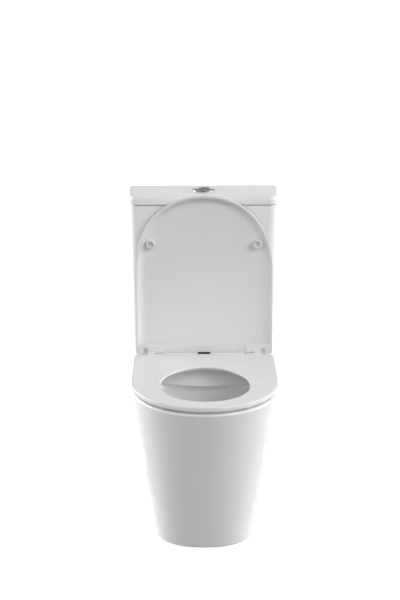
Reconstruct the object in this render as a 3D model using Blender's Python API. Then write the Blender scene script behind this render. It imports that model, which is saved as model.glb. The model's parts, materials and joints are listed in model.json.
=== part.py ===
"""Close coupled, back-to-wall, rimless toilet with a slim soft-close seat and a dual-flush cistern.

Frame: metres, +Z up, floor at z = 0, the wall behind at y = +0.320, the front of the seat at y = -0.316.
The seat is down and its lid is raised.
"""

import math

import bmesh
import bpy
from mathutils import Matrix, Vector

# ------------------------------------------------------------------ driving dimensions (metres)
GAP = 0.0003                      # clearance between pieces that touch

WALL_Y = 0.320                    # plane of the wall behind the toilet
RIM_Z = 0.411                     # top of the pan
WALL = 0.011                      # ceramic thickness of the pan

RIM_HALF_WIDTH = 0.181            # pan outline at the rim
RIM_FRONT_Y = -0.313
RIM_NOSE_Y = -0.110               # where the front curve of the rim begins
FOOT_HALF_WIDTH = 0.127           # pan outline on the floor
FOOT_FRONT_Y = -0.1685
FOOT_NOSE_Y = -0.0450
RIM_POWER = 2.1                   # fullness of the front curve, 2 being an ellipse
FOOT_POWER = 2.3

DECK_UNDER_Z = 0.393              # underside of the deck behind the bowl
LIP_Z = 0.372                     # lip of the hood at the back of the bowl
BOWL_FLOOR_Z = 0.138

OUTLET_Z = 0.180                  # height of the horizontal waste outlet
OUTLET_RADIUS = 0.051
OUTLET_END_Y = 0.290
TRAP_RADIUS = 0.027

TANK_BOTTOM_Z = RIM_Z + 0.0004
TANK_TOP_Z = 0.8115
TANK_HALF_TOP = 0.1895
TANK_HALF_BOTTOM = 0.1845
TANK_FRONT_Y = 0.168
TANK_BACK_Y = 0.318
TANK_WALL = 0.010
TANK_FLOOR = 0.0125

CISTERN_LID_HALF = 0.1925
CISTERN_LID_FRONT_Y = 0.164
CISTERN_LID_TOP_Z = 0.8367
CISTERN_LID_SLAB = 0.012
CISTERN_LID_EDGE = 0.014          # rounding round its top
TANK_CORNERS = (0.020, 0.016)     # plan radii at the front and at the wall
CISTERN_LID_CORNERS = (0.022, 0.018)
CISTERN_SPREAD = 0.23             # widening towards the wall, per metre of depth

VALVE_Y = 0.243                   # flush valve, buttons and coupling bolts lie on this line
BUTTON_RADIUS = 0.0295
FILL_X = -0.120                   # fill valve column
COUPLING_X = 0.075                # cistern coupling bolts

HINGE_Y = 0.100                   # seat and lid turn on one axis
HINGE_Z = 0.421
LID_LEAN = math.radians(94.3)     # how far the raised lid has turned from closed
SEAT_HALF_WIDTH = 0.1830
SEAT_FRONT = 0.4165               # distance from the hinge axis to the front of the seat
SEAT_REAR = 0.0135                # and to its back edge
BACK_CORNER = 0.006               # plan radius of the back corners of seat and lid
SEAT_BOTTOM_H = -0.002            # heights above the hinge axis
SEAT_TOP_H = 0.010
LID_HALF_WIDTH = 0.1800
LID_FRONT = 0.4235
LID_RIM_H = 0.013
LID_TOP_H = 0.029
LID_PANEL_H = 0.024
SEAT_NOSE = 0.210                 # where the front curve of the seat begins
LID_NOSE = 0.222                  # where the front curve of the lid begins
LID_POWER = 2.2
POST_X = 0.0775                   # fixing centres of the seat, 155 mm apart
SEAT_KNUCKLE = (0.1085, 0.128)
LID_KNUCKLE = (0.129, 0.149)
KNUCKLE_RADIUS = 0.0085
PIN_RADIUS = 0.0038

ARC_STEPS = 26                    # segments of each large front curve
ROUND = 16                        # sides of small turned pieces
BOWL_STEPS = 16                   # segments of each half of a bowl section


# ------------------------------------------------------------------ scene and object helpers
def clear_scene():
    for item in list(bpy.data.objects):
        bpy.data.objects.remove(item, do_unlink=True)


def new_collection(name):
    collection = bpy.data.collections.new(name)
    bpy.context.scene.collection.children.link(collection)
    return collection


def new_material(name, colour, roughness, metallic=0.0):
    mat = bpy.data.materials.new(name)
    mat.use_nodes = True
    shader = mat.node_tree.nodes["Principled BSDF"]
    shader.inputs["Base Color"].default_value = (*colour, 1.0)
    shader.inputs["Roughness"].default_value = roughness
    shader.inputs["Metallic"].default_value = metallic
    return mat


def frame_empty(name, location, turn=0.0):
    """An empty on a joint axis; its children are modelled in its frame."""
    empty = bpy.data.objects.new(name, None)
    empty.location = location
    empty.rotation_euler = (turn, 0.0, 0.0)
    PARTS.objects.link(empty)
    return empty


def object_from(name, bm, parent=None, cutter=False):
    """Turn a bmesh into an object with outward faces, in the parts or the cutters collection."""
    bmesh.ops.recalc_face_normals(bm, faces=bm.faces)
    mesh = bpy.data.meshes.new(name)
    bm.to_mesh(mesh)
    bm.free()
    obj = bpy.data.objects.new(name, mesh)
    obj.parent = parent
    if cutter:
        obj.hide_render = True
        obj.display_type = "WIRE"
        CUTTERS.objects.link(obj)
    else:
        PARTS.objects.link(obj)
    return obj


def finish(obj, mat, origin=None):
    """Give a piece its material, smooth shading and, where it moves, an origin on its axis."""
    obj.data.materials.append(mat)
    obj.data.shade_smooth()
    obj.data.set_sharp_from_angle(angle=math.radians(35))
    if origin is not None:
        obj.data.transform(Matrix.Translation(-Vector(origin)))
        obj.location = origin
    return obj


def boolean(target, other, operation):
    mod = target.modifiers.new(operation.title(), "BOOLEAN")
    mod.operation = operation
    mod.solver = "EXACT"
    mod.object = other


def cut(target, *cutters):
    for cutter in cutters:
        boolean(target, cutter, "DIFFERENCE")


def join(target, *others):
    for other in others:
        boolean(target, other, "UNION")


# ------------------------------------------------------------------ shape helpers
def loft_mesh(rings):
    """Closed solid through rings of equal point counts, capped at both ends."""
    bm = bmesh.new()
    rows = [[bm.verts.new(point) for point in ring] for ring in rings]
    count = len(rows[0])
    for lower, upper in zip(rows, rows[1:]):
        for i in range(count):
            j = (i + 1) % count
            bm.faces.new((lower[i], lower[j], upper[j], upper[i]))
    bm.faces.new(rows[0])
    bm.faces.new(list(reversed(rows[-1])))
    return bm


def loft(name, rings, parent=None, cutter=False):
    return object_from(name, loft_mesh(rings), parent, cutter)


def box(name, low, high, parent=None, cutter=False, bevel=0.0, along=None):
    """Block between two corners; bevel rounds every edge, or only those along one axis."""
    bm = bmesh.new()
    bmesh.ops.create_cube(bm, size=1.0)
    low = Vector(low)
    high = Vector(high)
    size = high - low
    bmesh.ops.scale(bm, vec=size, verts=bm.verts)
    bmesh.ops.translate(bm, vec=(low + high) / 2, verts=bm.verts)
    edges = bm.edges[:]
    if along is not None:
        edges = [e for e in edges if abs((e.verts[0].co - e.verts[1].co)[along]) > 1e-6]
    if bevel:
        segments = 2 if along is None else 3
        bmesh.ops.bevel(bm, geom=edges, offset=bevel, segments=segments, profile=0.5, affect="EDGES")
    return object_from(name, bm, parent, cutter)


AXIS_TURN = {
    "X": Matrix.Rotation(math.pi / 2, 4, "Y"),
    "Y": Matrix.Rotation(-math.pi / 2, 4, "X"),
    "Z": Matrix.Identity(4),
}


def cylinder(name, radius, start, end, axis="Z", at=(0.0, 0.0), parent=None, cutter=False,
             sides=ROUND, end_radius=None):
    """Round bar along an axis from start to end; at gives the other two coordinates in order."""
    bm = bmesh.new()
    top = radius if end_radius is None else end_radius
    bmesh.ops.create_cone(bm, cap_ends=True, segments=sides, radius1=radius, radius2=top,
                          depth=end - start)
    bmesh.ops.transform(bm, matrix=AXIS_TURN[axis], verts=bm.verts)
    middle = (start + end) / 2
    centre = {"X": (middle, *at), "Y": (at[0], middle, at[1]), "Z": (*at, middle)}[axis]
    bmesh.ops.translate(bm, vec=centre, verts=bm.verts)
    return object_from(name, bm, parent, cutter)


def turned(name, profile, at, sides=ROUND, cutter=False):
    """Ring-shaped solid about a vertical line; the closed profile is (radius, height) pairs."""
    bm = bmesh.new()
    rows = []
    for k in range(sides):
        angle = 2 * math.pi * k / sides
        row = [(at[0] + r * math.cos(angle), at[1] + r * math.sin(angle), z) for r, z in profile]
        rows.append([bm.verts.new(point) for point in row])
    count = len(profile)
    for k in range(sides):
        here = rows[k]
        there = rows[(k + 1) % sides]
        for i in range(count):
            j = (i + 1) % count
            bm.faces.new((here[i], here[j], there[j], there[i]))
    return object_from(name, bm, None, cutter)


def washer(name, inner, outer, bottom, top, at, sides=ROUND):
    return turned(name, [(inner, bottom), (outer, bottom), (outer, top), (inner, top)], at, sides)


def nut(name, shaft, across, bottom, top, at, corners=6):
    """Nut with flat sides and a round bore that clears the shaft."""
    body = cylinder(name, across, bottom, top, at=at, sides=corners)
    bore = (shaft + GAP) / math.cos(math.pi / ROUND)
    cut(body, cylinder(name + "_bore", bore, bottom - 0.01, top + 0.01, at=at, cutter=True))
    return body


def tube(name, points, radius, bevel_resolution=3, cutter=True):
    """Bent round bar along a smooth route, made a mesh so that it can be joined or cut."""
    curve = bpy.data.curves.new(name + "_route", "CURVE")
    curve.dimensions = "3D"
    curve.bevel_depth = radius
    curve.bevel_resolution = bevel_resolution
    curve.use_fill_caps = True
    route = smooth_route(points, 3)
    spline = curve.splines.new("POLY")
    spline.points.add(len(route) - 1)
    for spot, point in zip(spline.points, route):
        spot.co = (*point, 1.0)
    holder = bpy.data.objects.new(name + "_route", curve)
    CUTTERS.objects.link(holder)
    bpy.context.view_layer.update()
    evaluated = holder.evaluated_get(bpy.context.evaluated_depsgraph_get())
    mesh = bpy.data.meshes.new_from_object(evaluated)
    bm = bmesh.new()
    bm.from_mesh(mesh)
    bmesh.ops.remove_doubles(bm, verts=bm.verts, dist=0.00001)
    bpy.data.objects.remove(holder, do_unlink=True)
    return object_from(name, bm, None, cutter)


def smooth_route(points, between):
    """Catmull-Rom curve through the points, with a few points between each two."""
    spots = [Vector(p) for p in points]
    spots = [2 * spots[0] - spots[1]] + spots + [2 * spots[-1] - spots[-2]]
    route = []
    for a, b, c, d in zip(spots, spots[1:], spots[2:], spots[3:]):
        for k in range(between):
            t = k / between
            route.append(0.5 * (2 * b + (c - a) * t + (2 * a - 5 * b + 4 * c - d) * t * t
                                + (3 * b - a - 3 * c + d) * t ** 3))
    route.append(spots[-2])
    return route


def power_arc(half_width, depth, centre_y, power, steps, sign):
    """Half of a superellipse from +x to -x, bulging towards sign * y."""
    arc = []
    for k in range(steps + 1):
        angle = math.pi * k / steps
        c = math.cos(angle)
        s = math.sin(angle)
        x = half_width * math.copysign(abs(c) ** (2 / power), c)
        y = centre_y + sign * depth * max(s, 0.0) ** (2 / power)
        arc.append((x, y))
    return arc


def d_outline(half_width, nose_y, front_y, rear_y, power, corner=0.0):
    """Round at the front, straight sides, square or rounded corners at the back."""
    outline = power_arc(half_width, nose_y - front_y, nose_y, power, ARC_STEPS, -1)
    if corner:
        turn = [math.radians(a) for a in (0, 30, 60, 90)]
        left = [(corner - half_width - corner * math.cos(a), rear_y - corner + corner * math.sin(a))
                for a in turn]
        outline += left
        outline += [(-x, y) for x, y in reversed(left)]
    else:
        outline += [(-half_width, rear_y), (half_width, rear_y)]
    return outline


def rounded_box_outline(half_width, front_y, rear_y, front_corner, rear_corner, steps=5):
    outline = []
    corners = [
        (half_width - front_corner, front_y + front_corner, front_corner, 0),
        (-half_width + front_corner, front_y + front_corner, front_corner, 90),
        (-half_width + rear_corner, rear_y - rear_corner, rear_corner, 180),
        (half_width - rear_corner, rear_y - rear_corner, rear_corner, 270),
    ]
    for cx, cy, radius, begin in corners:
        for k in range(steps + 1):
            angle = math.radians(begin + 90 * k / steps)
            outline.append((cx + radius * math.cos(angle), cy - radius * math.sin(angle)))
    return outline


def at_height(outline, z):
    return [(x, y, z) for x, y in outline]


def mix(a, b, t):
    return a + (b - a) * t


# ------------------------------------------------------------------ pan
def pan_ring(z, inset=0.0, rear_y=WALL_Y):
    """Outline of the skirt at a height, drawn in by inset."""
    t = z / RIM_Z
    half = mix(FOOT_HALF_WIDTH, RIM_HALF_WIDTH, t) - inset
    front = mix(FOOT_FRONT_Y, RIM_FRONT_Y, t) + inset
    nose = mix(FOOT_NOSE_Y, RIM_NOSE_Y, t)
    power = mix(FOOT_POWER, RIM_POWER, t)
    return at_height(d_outline(half, nose, front, rear_y, power), z)


# height, half width, front y, back y, squareness of the back and forward bulge of its middle,
# from the rim down to the sump
BOWL_LEVELS = [
    (0.420, 0.135, -0.286, 0.047, 6.0, 0.000),
    (0.407, 0.132, -0.283, 0.046, 6.0, 0.003),
    (0.396, 0.131, -0.281, 0.046, 6.5, 0.014),
    (0.384, 0.131, -0.280, 0.045, 7.0, 0.030),
    (0.3745, 0.131, -0.280, 0.045, 7.0, 0.041),
    (LIP_Z, 0.131, -0.280, 0.045, 7.0, 0.042),
    (0.3715, 0.131, -0.280, 0.050, 7.0, 0.020),
    (0.356, 0.129, -0.278, 0.050, 6.0, 0.020),
    (0.342, 0.121, -0.268, 0.038, 4.0, 0.012),
    (0.310, 0.105, -0.248, 0.008, 2.8, 0.000),
    (0.270, 0.084, -0.216, -0.014, 2.3, 0.000),
    (0.230, 0.063, -0.180, -0.026, 2.1, 0.000),
    (0.190, 0.047, -0.148, -0.032, 2.0, 0.000),
    (0.155, 0.037, -0.122, -0.038, 2.0, 0.000),
    (BOWL_FLOOR_Z, 0.026, -0.106, -0.046, 2.0, 0.000),
]
BOWL_CENTRE_SHARE = 0.566         # widest place of a bowl section, as a share of its length


def bowl_ring(z, half_width, front_y, rear_y, power, bulge, grow=0.0):
    """Bowl outline: an ellipse at the front and a squarer curve at the back."""
    centre = mix(front_y, rear_y, BOWL_CENTRE_SHARE)
    half = half_width + grow
    front = power_arc(half, centre - front_y + grow, centre, 2.1, BOWL_STEPS, -1)
    rear = power_arc(half, rear_y - centre + grow, centre, power, BOWL_STEPS, 1)
    rear = [(x, y - bulge * (1 - (x / half) ** 2)) for x, y in reversed(rear)]
    return at_height(front + rear[1:-1], z)


def bowl_inside():
    return loft("bowl_inside", [bowl_ring(*level) for level in BOWL_LEVELS], cutter=True)


def bowl_outside(name, cutter):
    """Outer side of the bowl wall; the hood over the back is left solid."""
    rings = []
    for z, half, front, rear, power, bulge in BOWL_LEVELS:
        if LIP_Z - 0.0001 < z < 0.400 or z > 0.410:
            continue
        level = min(z, 0.402)
        if z < 0.350:
            level -= WALL * (0.350 - z) / (0.350 - BOWL_FLOOR_Z)
        rear_y = rear if z < 0.350 else 0.050
        rings.append(bowl_ring(level, half, front, rear_y, power, 0.0, WALL))
    return loft(name, rings, cutter=cutter)


TRAPWAY_TOP_Z = 0.200             # the trapway starts at this level of the bowl
DUCT_START_Y = 0.0613             # back face of the bowl, where the flush duct starts
OUTLET_START_Y = 0.236


def below(name, z):
    return box(name, (-0.3, -0.5, -0.1), (0.3, 0.5, z), cutter=True)


def above(name, z):
    return box(name, (-0.3, -0.5, z), (0.3, 0.5, 0.6), cutter=True)


def skirt_hollow(name, spare=0.0):
    """Room inside the skirt and below the deck, smaller by a spare gap."""
    levels = (-0.01, 0.14, 0.28, DECK_UNDER_Z - spare)
    return loft(name, [pan_ring(z, WALL + spare, WALL_Y + 0.02) for z in levels], cutter=True)


def duct(name, grow, cutter=True):
    """Flush passage from under the cistern to the back of the bowl, below the hood."""
    ends = [(0.026, 0.032, 0.3645, 0.3830), (VALVE_Y, 0.030, 0.3620, 0.3795)]
    rings = []
    for y, half, low, high in ends:
        y -= grow if y < 0.1 else 0.0
        half += grow
        low -= grow
        high += grow
        rings.append([(-half, y, low), (half, y, low), (half, y, high), (-half, y, high)])
    return loft(name, rings, cutter=cutter)


TRAP_ROUTE = [
    (0.0, -0.085, 0.178),
    (0.0, -0.052, 0.150),
    (0.0, -0.010, 0.142),
    (0.0, 0.030, 0.160),
    (0.0, 0.064, 0.198),
    (0.0, 0.100, 0.222),
    (0.0, 0.140, 0.214),
    (0.0, 0.180, 0.189),
    (0.0, 0.222, OUTLET_Z),
    (0.0, 0.262, OUTLET_Z),
]


def make_skirt(mat):
    """Skirt, rim and deck. The pan is one casting, kept as five nodes with a hair line between them."""
    outer = [pan_ring(0.0, 0.0015), pan_ring(0.0015), pan_ring(0.14), pan_ring(0.28)]
    outer += [pan_ring(RIM_Z - 0.006), pan_ring(RIM_Z - 0.0018, 0.0018), pan_ring(RIM_Z, 0.006)]
    pan = loft("pan", outer)
    cut(pan, skirt_hollow("skirt_hollow"))
    cut(pan, bowl_inside())
    cut(pan, cylinder("inlet_seat", 0.047, 0.381, 0.42, at=(0.0, VALVE_Y), cutter=True, sides=28))
    cut(pan, cylinder("supply_hole", 0.019, 0.38, 0.42, at=(FILL_X, VALVE_Y), cutter=True))
    for side in (-1, 1):
        cut(pan, cylinder("coupling_hole", 0.006, 0.38, 0.42, at=(side * COUPLING_X, VALVE_Y),
                          cutter=True, sides=12))
        cut(pan, cylinder("seat_hole", 0.007, 0.38, 0.42, at=(side * POST_X, HINGE_Y),
                          cutter=True, sides=12))
        span = sorted((side * 0.10, side * 0.14))
        cut(pan, cylinder("fixing_hole", 0.0045, span[0], span[1], "X", (FIXING_Y, FIXING_Z),
                          cutter=True, sides=12))
    return finish(pan, mat)


def make_bowl(mat):
    """Wall of the bowl, from the deck down to the trapway."""
    bowl = bowl_outside("pan_bowl", False)
    boolean(bowl, skirt_hollow("bowl_room", GAP), "INTERSECT")
    cut(bowl, below("bowl_end", TRAPWAY_TOP_Z + GAP))
    cut(bowl, bowl_inside())
    cut(bowl, duct("duct_mouth", 0.0))
    return finish(bowl, mat)


def make_flush_duct(mat):
    """Covered passage from the cistern to the bowl, and the boss around its inlet."""
    passage = duct("pan_flush_duct", 0.009, cutter=False)
    join(passage, cylinder("inlet_boss", 0.057, 0.340, 0.400, at=(0.0, VALVE_Y), cutter=True, sides=28))
    cut(passage, above("duct_top", DECK_UNDER_Z - GAP))
    cut(passage, box("duct_end", (-0.1, -0.1, 0.3), (0.1, DUCT_START_Y, 0.45), cutter=True))
    cut(passage, duct("duct_inside", 0.0))
    cut(passage, cylinder("inlet_well", 0.030, 0.350, 0.383, at=(0.0, VALVE_Y), cutter=True, sides=28))
    cut(passage, cylinder("boss_seat", 0.047, 0.381, 0.42, at=(0.0, VALVE_Y), cutter=True, sides=28))
    return finish(passage, mat)


def make_trapway(mat):
    """Sump of the bowl and the trap."""
    trapway = bowl_outside("pan_trapway", False)
    cut(trapway, above("sump_top", TRAPWAY_TOP_Z))
    join(trapway, tube("trap_outside", TRAP_ROUTE, TRAP_RADIUS + 0.009))
    cut(trapway, bowl_inside())
    cut(trapway, tube("trap_inside", TRAP_ROUTE, TRAP_RADIUS))
    cut(trapway, box("trap_end", (-0.1, OUTLET_START_Y - GAP, 0.1), (0.1, 0.3, 0.3), cutter=True))
    return finish(trapway, mat)


def make_outlet(mat):
    outlet = cylinder("pan_outlet", OUTLET_RADIUS, OUTLET_START_Y, OUTLET_END_Y, "Y", (0.0, OUTLET_Z),
                      sides=28)
    cut(outlet, cylinder("outlet_neck", TRAP_RADIUS, OUTLET_START_Y - 0.01, OUTLET_END_Y, "Y",
                         (0.0, OUTLET_Z), cutter=True, sides=20))
    cut(outlet, cylinder("outlet_bore", OUTLET_RADIUS - 0.008, OUTLET_START_Y + 0.010,
                         OUTLET_END_Y + 0.01, "Y", (0.0, OUTLET_Z), cutter=True, sides=28))
    return finish(outlet, mat)


# ------------------------------------------------------------------ floor fixings
FIXING_Y = 0.060
FIXING_Z = 0.032
BRACKET_PLATE = 0.005


def skirt_half_width(z):
    return mix(FOOT_HALF_WIDTH, RIM_HALF_WIDTH, z / RIM_Z)


def make_floor_fixings(plastic, steel, cap_mat):
    inner = FOOT_HALF_WIDTH - WALL - 0.002
    for side, word in ((-1, "left"), (1, "right")):
        low_x, high_x = sorted((side * (inner - 0.040), side * inner))
        bracket = box("floor_bracket_" + word, (low_x, FIXING_Y - 0.018, 0.0),
                      (high_x, FIXING_Y + 0.018, BRACKET_PLATE))
        wall_x = sorted((side * (inner - 0.012), side * inner))
        join(bracket, box("bracket_upright", (wall_x[0], FIXING_Y - 0.014, 0.002),
                          (wall_x[1], FIXING_Y + 0.014, 0.050), cutter=True))
        cut(bracket, cylinder("floor_screw_hole", 0.0035, -0.01, 0.02,
                              at=(side * (inner - 0.026), FIXING_Y), cutter=True, sides=12))
        span = sorted((side * (inner - 0.020), side * 0.126))
        cut(bracket, cylinder("side_screw_hole", 0.0036, span[0], span[1], "X", (FIXING_Y, FIXING_Z),
                              cutter=True, sides=12))
        finish(bracket, plastic)
        shaft = sorted((side * (inner - 0.010), side * 0.1285))
        screw = cylinder("fixing_screw_" + word, 0.0032, shaft[0], shaft[1], "X",
                         (FIXING_Y, FIXING_Z), sides=12)
        finish(screw, steel)
        make_fixing_cap("fixing_cap_" + word, side, cap_mat)


def make_fixing_cap(name, side, mat):
    """Low domed cap flat on the sloping skirt."""
    slope = math.atan((RIM_HALF_WIDTH - FOOT_HALF_WIDTH) / RIM_Z)
    bm = bmesh.new()
    bmesh.ops.create_cone(bm, cap_ends=True, segments=ROUND, radius1=0.009, radius2=0.0075,
                          depth=0.0026)
    bmesh.ops.translate(bm, vec=(0, 0, 0.0013 + GAP), verts=bm.verts)
    turn = Matrix.Rotation(side * (math.pi / 2 + slope), 4, "Y")
    bmesh.ops.transform(bm, matrix=turn, verts=bm.verts)
    at = (side * skirt_half_width(FIXING_Z), FIXING_Y, FIXING_Z)
    bmesh.ops.translate(bm, vec=at, verts=bm.verts)
    finish(object_from(name, bm), mat)


# ------------------------------------------------------------------ cistern
def spread(outline):
    """The outline made wider towards the wall."""
    return [(x * (1 + CISTERN_SPREAD * (y - TANK_FRONT_Y)), y) for x, y in outline]


def tank_ring(z, inset=0.0):
    t = (z - TANK_BOTTOM_Z) / (TANK_TOP_Z - TANK_BOTTOM_Z)
    half = mix(TANK_HALF_BOTTOM, TANK_HALF_TOP, t) - inset
    front = mix(TANK_FRONT_Y + 0.003, TANK_FRONT_Y, t) + inset
    corners = [max(radius - inset, 0.008) for radius in TANK_CORNERS]
    outline = rounded_box_outline(half, front, TANK_BACK_Y - inset, *corners)
    return at_height(spread(outline), z)


def make_tank(mat):
    low = TANK_BOTTOM_Z
    tank = loft("tank", [tank_ring(low, 0.004), tank_ring(low + 0.004), tank_ring(TANK_TOP_Z)])
    floor = low + TANK_FLOOR
    inside = [tank_ring(floor, TANK_WALL + 0.006), tank_ring(floor + 0.006, TANK_WALL)]
    inside.append(tank_ring(TANK_TOP_Z + 0.01, TANK_WALL))
    cut(tank, loft("tank_inside", inside, cutter=True))
    cut(tank, cylinder("valve_hole", 0.0325, low - 0.01, floor + 0.01, at=(0.0, VALVE_Y),
                       cutter=True, sides=28))
    cut(tank, cylinder("fill_hole", 0.0110, low - 0.01, floor + 0.01, at=(FILL_X, VALVE_Y),
                       cutter=True))
    for side in (-1, 1):
        cut(tank, cylinder("bolt_hole", 0.0055, low - 0.01, floor + 0.01,
                           at=(side * COUPLING_X, VALVE_Y), cutter=True, sides=12))
    return finish(tank, mat)


def lid_ring(z, inset=0.0):
    corners = [max(radius - inset, 0.006) for radius in CISTERN_LID_CORNERS]
    outline = rounded_box_outline(CISTERN_LID_HALF - inset, CISTERN_LID_FRONT_Y + inset,
                                  WALL_Y - inset, *corners)
    return at_height(spread(outline), z)


def make_cistern_lid(mat):
    top = CISTERN_LID_TOP_Z
    bottom = TANK_TOP_Z + GAP
    rings = [lid_ring(bottom, 0.0015), lid_ring(bottom + 0.0015)]
    for turn in (0, 25, 50, 70, 90):
        inset = CISTERN_LID_EDGE * (1 - math.cos(math.radians(turn)))
        drop = CISTERN_LID_EDGE * (1 - math.sin(math.radians(turn)))
        rings.append(lid_ring(top - drop, inset))
    lid = loft("cistern_lid", rings)
    hollow = [lid_ring(bottom - 0.01, 0.0115), lid_ring(top - CISTERN_LID_SLAB, 0.0115)]
    cut(lid, loft("lid_hollow", hollow, cutter=True))
    inner = TANK_HALF_TOP - TANK_WALL - 0.002
    for side in (-1, 1):
        low_x, high_x = sorted((side * (inner - 0.006), side * inner))
        join(lid, box("locating_rib", (low_x, 0.200, bottom - 0.007), (high_x, 0.285, top - 0.010),
                      cutter=True))
    cut(lid, cylinder("button_hole", 0.0262, top - 0.03, top + 0.01, at=(0.0, VALVE_Y),
                      cutter=True, sides=28))
    return finish(lid, mat, (0.0, VALVE_Y, bottom))


# ------------------------------------------------------------------ push buttons
def half_disc(name, radius, split_x, side, bottom, top):
    """Part of a round key on one side of a straight split."""
    edge = math.acos(split_x / radius)
    steps = 14
    outline = []
    for k in range(steps + 1):
        angle = -edge + 2 * edge * k / steps
        outline.append((side * radius * math.cos(angle), VALVE_Y + radius * math.sin(angle)))
    return loft(name, [at_height(outline, bottom), at_height(outline, top)])


def make_buttons(chrome, plastic):
    top = CISTERN_LID_TOP_Z
    centre = (0.0, VALVE_Y)
    profile = [(0.0232, 0.803), (0.0258, 0.803), (0.0258, top + GAP), (BUTTON_RADIUS, top + GAP),
               (BUTTON_RADIUS, top + 0.0018), (0.0275, top + 0.0033), (0.0240, top + 0.0033),
               (0.0232, top + 0.0020)]
    finish(turned("button_bezel", profile, centre, 28), chrome)
    finish(washer("button_nut", 0.0261, 0.0335, top - CISTERN_LID_SLAB - 0.0075,
                  top - CISTERN_LID_SLAB - GAP, centre, 28), plastic)
    specs = (("full_flush_button", 1, -0.0035), ("half_flush_button", -1, 0.0041))
    for name, side, split in specs:
        key = half_disc(name, 0.0228, split, side, top - 0.009, top + 0.0022)
        rod = cylinder(name + "_rod", 0.003, RODS_BOTTOM_Z, top - 0.005,
                       at=(side * ROD_X, VALVE_Y), cutter=True, sides=12)
        join(key, rod)
        finish(key, chrome, (side * ROD_X, VALVE_Y, top))


# ------------------------------------------------------------------ flush valve
ROD_X = 0.012
RODS_BOTTOM_Z = 0.7077
PIVOT_X = 0.026
PIVOT_Z = 0.704
ROCKER_HALF = 0.003               # half the thickness of a rocker
ROCKER_TIP = 0.032                # from pivot to outer tip
LUG_X = (0.050, 0.058)
LUG_TOP_Z = 0.699
TOWER_TOP_Z = 0.640
VALVE_SEAT_Z = 0.4297


def make_flush_valve(plastic, rubber, accent):
    at = (0.0, VALVE_Y)
    floor = TANK_BOTTOM_Z + TANK_FLOOR + GAP
    base = [(0.020, 0.384), (0.031, 0.384), (0.031, floor), (0.042, floor),
            (0.042, VALVE_SEAT_Z), (0.020, VALVE_SEAT_Z)]
    finish(turned("flush_valve_base", base, at, 28), plastic)
    finish(nut("flush_back_nut", 0.031, 0.0425, 0.401, TANK_BOTTOM_Z - GAP, at, 8), plastic)
    finish(washer("coupling_gasket", 0.0318, 0.0464, 0.3813, 0.4007, at, 28), rubber)
    finish(washer("flush_seal", 0.016, 0.026, VALVE_SEAT_Z + GAP, 0.4342, at, 28), rubber)
    make_tower(plastic)
    riser = [(0.012, 0.4345), (0.022, 0.4345), (0.022, 0.438), (0.014, 0.438), (0.014, 0.668),
             (0.012, 0.668)]
    pipe = turned("overflow_riser", riser, at, 24)
    yoke = box("yoke", (0.0125, VALVE_Y - 0.004, 0.655), (LUG_X[1], VALVE_Y + 0.004, 0.661), cutter=True)
    lug = box("lug", (LUG_X[0], VALVE_Y - 0.0036, 0.657), (LUG_X[1] - 0.0004, VALVE_Y + 0.0036, LUG_TOP_Z),
              cutter=True)
    join(pipe, yoke, lug)
    finish(pipe, plastic, (0.0, VALVE_Y, 0.4345))
    link = box("half_flush_link", (-LUG_X[1], VALVE_Y - 0.004, 0.560),
               (-LUG_X[0], VALVE_Y + 0.004, LUG_TOP_Z))
    join(link, box("link_hook", (-LUG_X[1] - 0.008, VALVE_Y - 0.0036, 0.564),
                   (-LUG_X[0] - 0.001, VALVE_Y + 0.0036, 0.572), cutter=True))
    finish(link, accent, (-LUG_X[0], VALVE_Y, LUG_TOP_Z))
    for side, name in ((1, "full_flush_rocker"), (-1, "half_flush_rocker")):
        low_x, high_x = sorted((side * (ROD_X - 0.002), side * (PIVOT_X + ROCKER_TIP)))
        rocker = box(name, (low_x, VALVE_Y - 0.005, PIVOT_Z - ROCKER_HALF),
                     (high_x, VALVE_Y + 0.005, PIVOT_Z + ROCKER_HALF))
        cut(rocker, cylinder(name + "_bore", 0.0022, VALVE_Y - 0.02, VALVE_Y + 0.02, "Y",
                             (side * PIVOT_X, PIVOT_Z), cutter=True, sides=12))
        finish(rocker, accent, (side * PIVOT_X, VALVE_Y, PIVOT_Z))


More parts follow.
